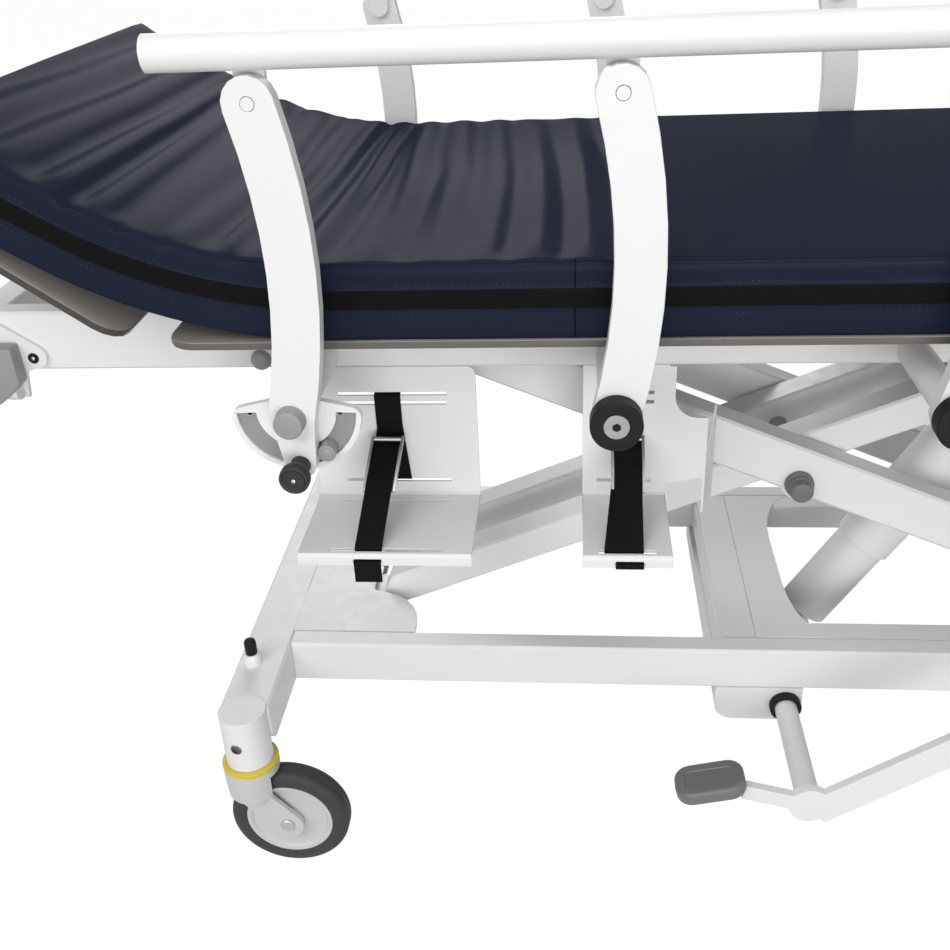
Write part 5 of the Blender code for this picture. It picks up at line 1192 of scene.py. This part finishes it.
for label, end, side in CORNERS:
    swivel = joint_place[f"swivel_{label}"]
    axle = joint_place[f"spin_{label}"]
    place_turned(f"stem_sleeve_{label}", STEM_SLEEVE, swivel, (0, 0, 1), white_paint, "base")
    ring_place = swivel - Vector((0.0, 0.0, RING_DROP))
    castor = f"castor_{label}"
    place_turned(f"brake_ring_{label}", RING, ring_place, (0, 0, 1), yellow_plastic, castor, 96)
    outwards = Vector((-0.17, side * 0.985, 0.0)).normalized()
    spot = swivel + Vector((0.0, 0.0, SCREW_RISE)) + outwards * STEM_RADIUS
    place_turned(f"socket_screw_{label}", SOCKET_SCREW, spot, outwards, dark_steel, "base", 32)
    wheel = f"wheel_{label}"
    tyre = place_turned(f"tyre_{label}", TYRE, axle, (0, 1, 0), tyre_rubber, wheel, 96)
    place_turned(f"wheel_hub_{label}", HUB, axle, (0, 1, 0), castor_plastic, wheel, 72)
    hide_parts(f"castor_wheel_{label}")
print("castors dressed:", 4)

# %% [markdown]
# ## Straps
# Each strap comes out of the holder's back, slants down in front of the shelf and leaves
# through the lip. A short row of edges is drawn out along that line, then given the webbing's
# thickness. The weave is in the finish and follows the strip's own UV map.

# %% Webbing finish


def webbing_finish():
    made = Finish("black_webbing", 0.72, specular=0.08)
    strip = made.node("ShaderNodeUVMap", uv_map="strip").outputs["UV"]
    ribs = made.node("ShaderNodeTexWave", wave_type="BANDS", bands_direction="X")
    ribs.inputs["Scale"].default_value = 110.0
    made.link(strip, ribs.inputs["Vector"])
    warp = made.node("ShaderNodeTexWave", wave_type="BANDS", bands_direction="Y")
    warp.inputs["Scale"].default_value = 190.0
    made.link(strip, warp.inputs["Vector"])
    weave = made.sum_of("MULTIPLY", ribs.outputs["Fac"], warp.outputs["Fac"])
    made.colour(made.blend(weave, (0.0045, 0.0045, 0.0047), (0.0125, 0.0125, 0.0128)))
    made.relief(weave, 0.0004, 0.8)
    return made.material


webbing = webbing_finish()
print("webbing ready")

# %% Straps
STRAP_HALF = 0.015
STRAP_THICK = 0.0016
HOLDER_FRONT = BEAM_FACE - 0.002
SHELF = BEAM_BOTTOM - 0.1635
LIP = HOLDER_FRONT + 0.1335


def smooth_run(points, per_span=6, slack=0.35):
    """A rounded line through the points, with short bends at the corners."""
    spots = [Vector(point) for point in points]
    line = [spots[0]]
    for before, here, after in zip(spots, spots[1:], spots[2:]):
        reach = min((here - before).length, (after - here).length, 0.012) * slack
        start = here + (before - here).normalized() * reach
        end = here + (after - here).normalized() * reach
        for step in range(per_span + 1):
            t = step / per_span
            line.append(start.lerp(here, t).lerp(here.lerp(end, t), t))
    line.append(spots[-1])
    return line


def strip_piece(name, centre, line, half=STRAP_HALF, thick=STRAP_THICK):
    """A row of edges across the strap, extruded along a line of points, with a UV along it."""
    bm = bmesh.new()
    across = (-1.0, -0.9, -0.45, 0.0, 0.45, 0.9, 1.0)
    start = Vector((centre, 0.0, 0.0)) + line[0]
    row = [bm.verts.new(start + Vector((half * share, 0.0, 0.0))) for share in across]
    edges = [bm.edges.new(pair) for pair in zip(row, row[1:])]
    lengths = {corner: 0.0 for corner in row}
    travelled = 0.0
    for before, here in zip(line, line[1:]):
        grown = bmesh.ops.extrude_edge_only(bm, edges=edges)["geom"]
        corners = {item for item in grown if isinstance(item, bmesh.types.BMVert)}
        drawn = [item for item in grown if isinstance(item, bmesh.types.BMEdge)]
        edges = [edge for edge in drawn if corners.issuperset(edge.verts)]
        bmesh.ops.translate(bm, verts=list(corners), vec=here - before)
        travelled += (here - before).length
        for corner in corners:
            lengths[corner] = travelled
    strip = bm.loops.layers.uv.new("strip")
    for face in bm.faces:
        for loop in face.loops:
            loop[strip].uv = (lengths[loop.vert], loop.vert.co.x - centre)
    bmesh.ops.recalc_face_normals(bm, faces=bm.faces)
    bmesh.ops.solidify(bm, geom=bm.faces[:], thickness=thick)
    return make_piece(name, bm, webbing, "frame", 50.0)


def strap_route(lean, tail):
    """From the upper slot down the back, under the buckle's bar, and out through the lip."""
    out = -HOLDER_FRONT - 0.0018
    leave = Vector((0.0, out, BEAM_BOTTOM - 0.078))
    slot = Vector((lean, -LIP + 0.0105, SHELF + 0.0015))
    slope = (slot - leave).normalized()
    raised = slope.cross(Vector((1.0, 0.0, 0.0))).normalized()
    if raised.z < 0.0:
        raised = -raised
    over = []
    for share, height in ((0.095, 0.0), (0.19, 0.0048), (0.42, 0.0050), (0.62, 0.0028)):
        over.append(tuple(leave.lerp(slot, share) + raised * height))
    return [
        (0.0, -HOLDER_FRONT + 0.004, BEAM_BOTTOM - 0.0332),
        (0.0, out, BEAM_BOTTOM - 0.0345),
        tuple(leave),
        *over,
        tuple(slot),
        (lean, -LIP + 0.0100, SHELF - 0.0050),
        (lean, -LIP + 0.0035, SHELF - 0.0074),
        (lean, -LIP - 0.0016, SHELF - 0.0082),
        (lean, -LIP - 0.0020, SHELF - 0.0110),
        (lean, -LIP - 0.0020, SHELF - tail),
    ]


STRAP_X = {"head": -0.487, "foot": -0.216}
for label, lean, tail in (("head", -0.013, 0.0345), ("foot", 0.0, 0.0145)):
    strap = strip_piece(f"strap_{label}", STRAP_X[label], smooth_run(strap_route(lean, tail)))
    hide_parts(f"bottle_strap_{label}")
second_ply = [
    (0.001, -HOLDER_FRONT - 0.0060, BEAM_BOTTOM - 0.082),
    (-0.004, -HOLDER_FRONT - 0.0600, BEAM_BOTTOM - 0.119),
    (-0.012, -LIP + 0.0110, SHELF + 0.0035),
    (-0.012, -LIP + 0.0102, SHELF - 0.0060),
]
strip_piece("strap_foot_ply", STRAP_X["foot"], smooth_run(second_ply))
back_ply = [
    (0.0, -HOLDER_FRONT - 0.0022, BEAM_BOTTOM - 0.070),
    (0.006, -HOLDER_FRONT - 0.0022, SHELF + 0.020),
    (0.006, -HOLDER_FRONT + 0.0040, SHELF + 0.018),
]
strip_piece("strap_head_ply", STRAP_X["head"], smooth_run(back_ply))
print("strips of webbing:", 4)

# %% [markdown]
# ## Pedal pads
# The foot pads are moulded rubber. A cube is stretched along its arm, its edges are bevelled
# round, and a shallow panel is let into its tread.

# %% Pedal pads
PAD_SIZE = (0.080, 0.049, 0.018)


def pedal_pad(name, node, angle):
    low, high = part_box(node)
    middle = (Vector(low) + Vector(high)) / 2
    bm = bmesh.new()
    bmesh.ops.create_cube(bm, size=1.0)
    bmesh.ops.scale(bm, vec=PAD_SIZE, verts=bm.verts)
    upright = [edge for edge in bm.edges if abs(edge.verts[0].co.z - edge.verts[1].co.z) > 0.01]
    bmesh.ops.bevel(bm, geom=upright, offset=0.019, segments=10, profile=0.5, affect="EDGES", material=-1)
    rim = [edge for edge in bm.edges if abs(edge.verts[0].co.z - edge.verts[1].co.z) < 1e-6]
    bmesh.ops.bevel(bm, geom=rim, offset=0.004, segments=4, profile=0.5, affect="EDGES", material=-1)
    top = max(bm.faces, key=lambda face: face.calc_center_median().z + face.calc_area())
    bmesh.ops.inset_region(bm, faces=[top], thickness=0.0075, use_even_offset=True)
    bmesh.ops.inset_region(bm, faces=[top], thickness=0.0012, depth=-0.0012, use_even_offset=True)
    spin = Matrix.Translation(middle) @ Matrix.Rotation(angle, 4, "Y")
    bmesh.ops.transform(bm, matrix=spin, verts=bm.verts)
    pad = make_piece(name, bm, grey_plastic, "pump_pedal", 40.0)
    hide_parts(node)
    return pad


pedal_pad("release_pad", "pedal_pad_release", math.radians(-14.0))
pedal_pad("pump_pad", "pedal_pad_pump", math.radians(35.5))
print("pedal pads:", 2)
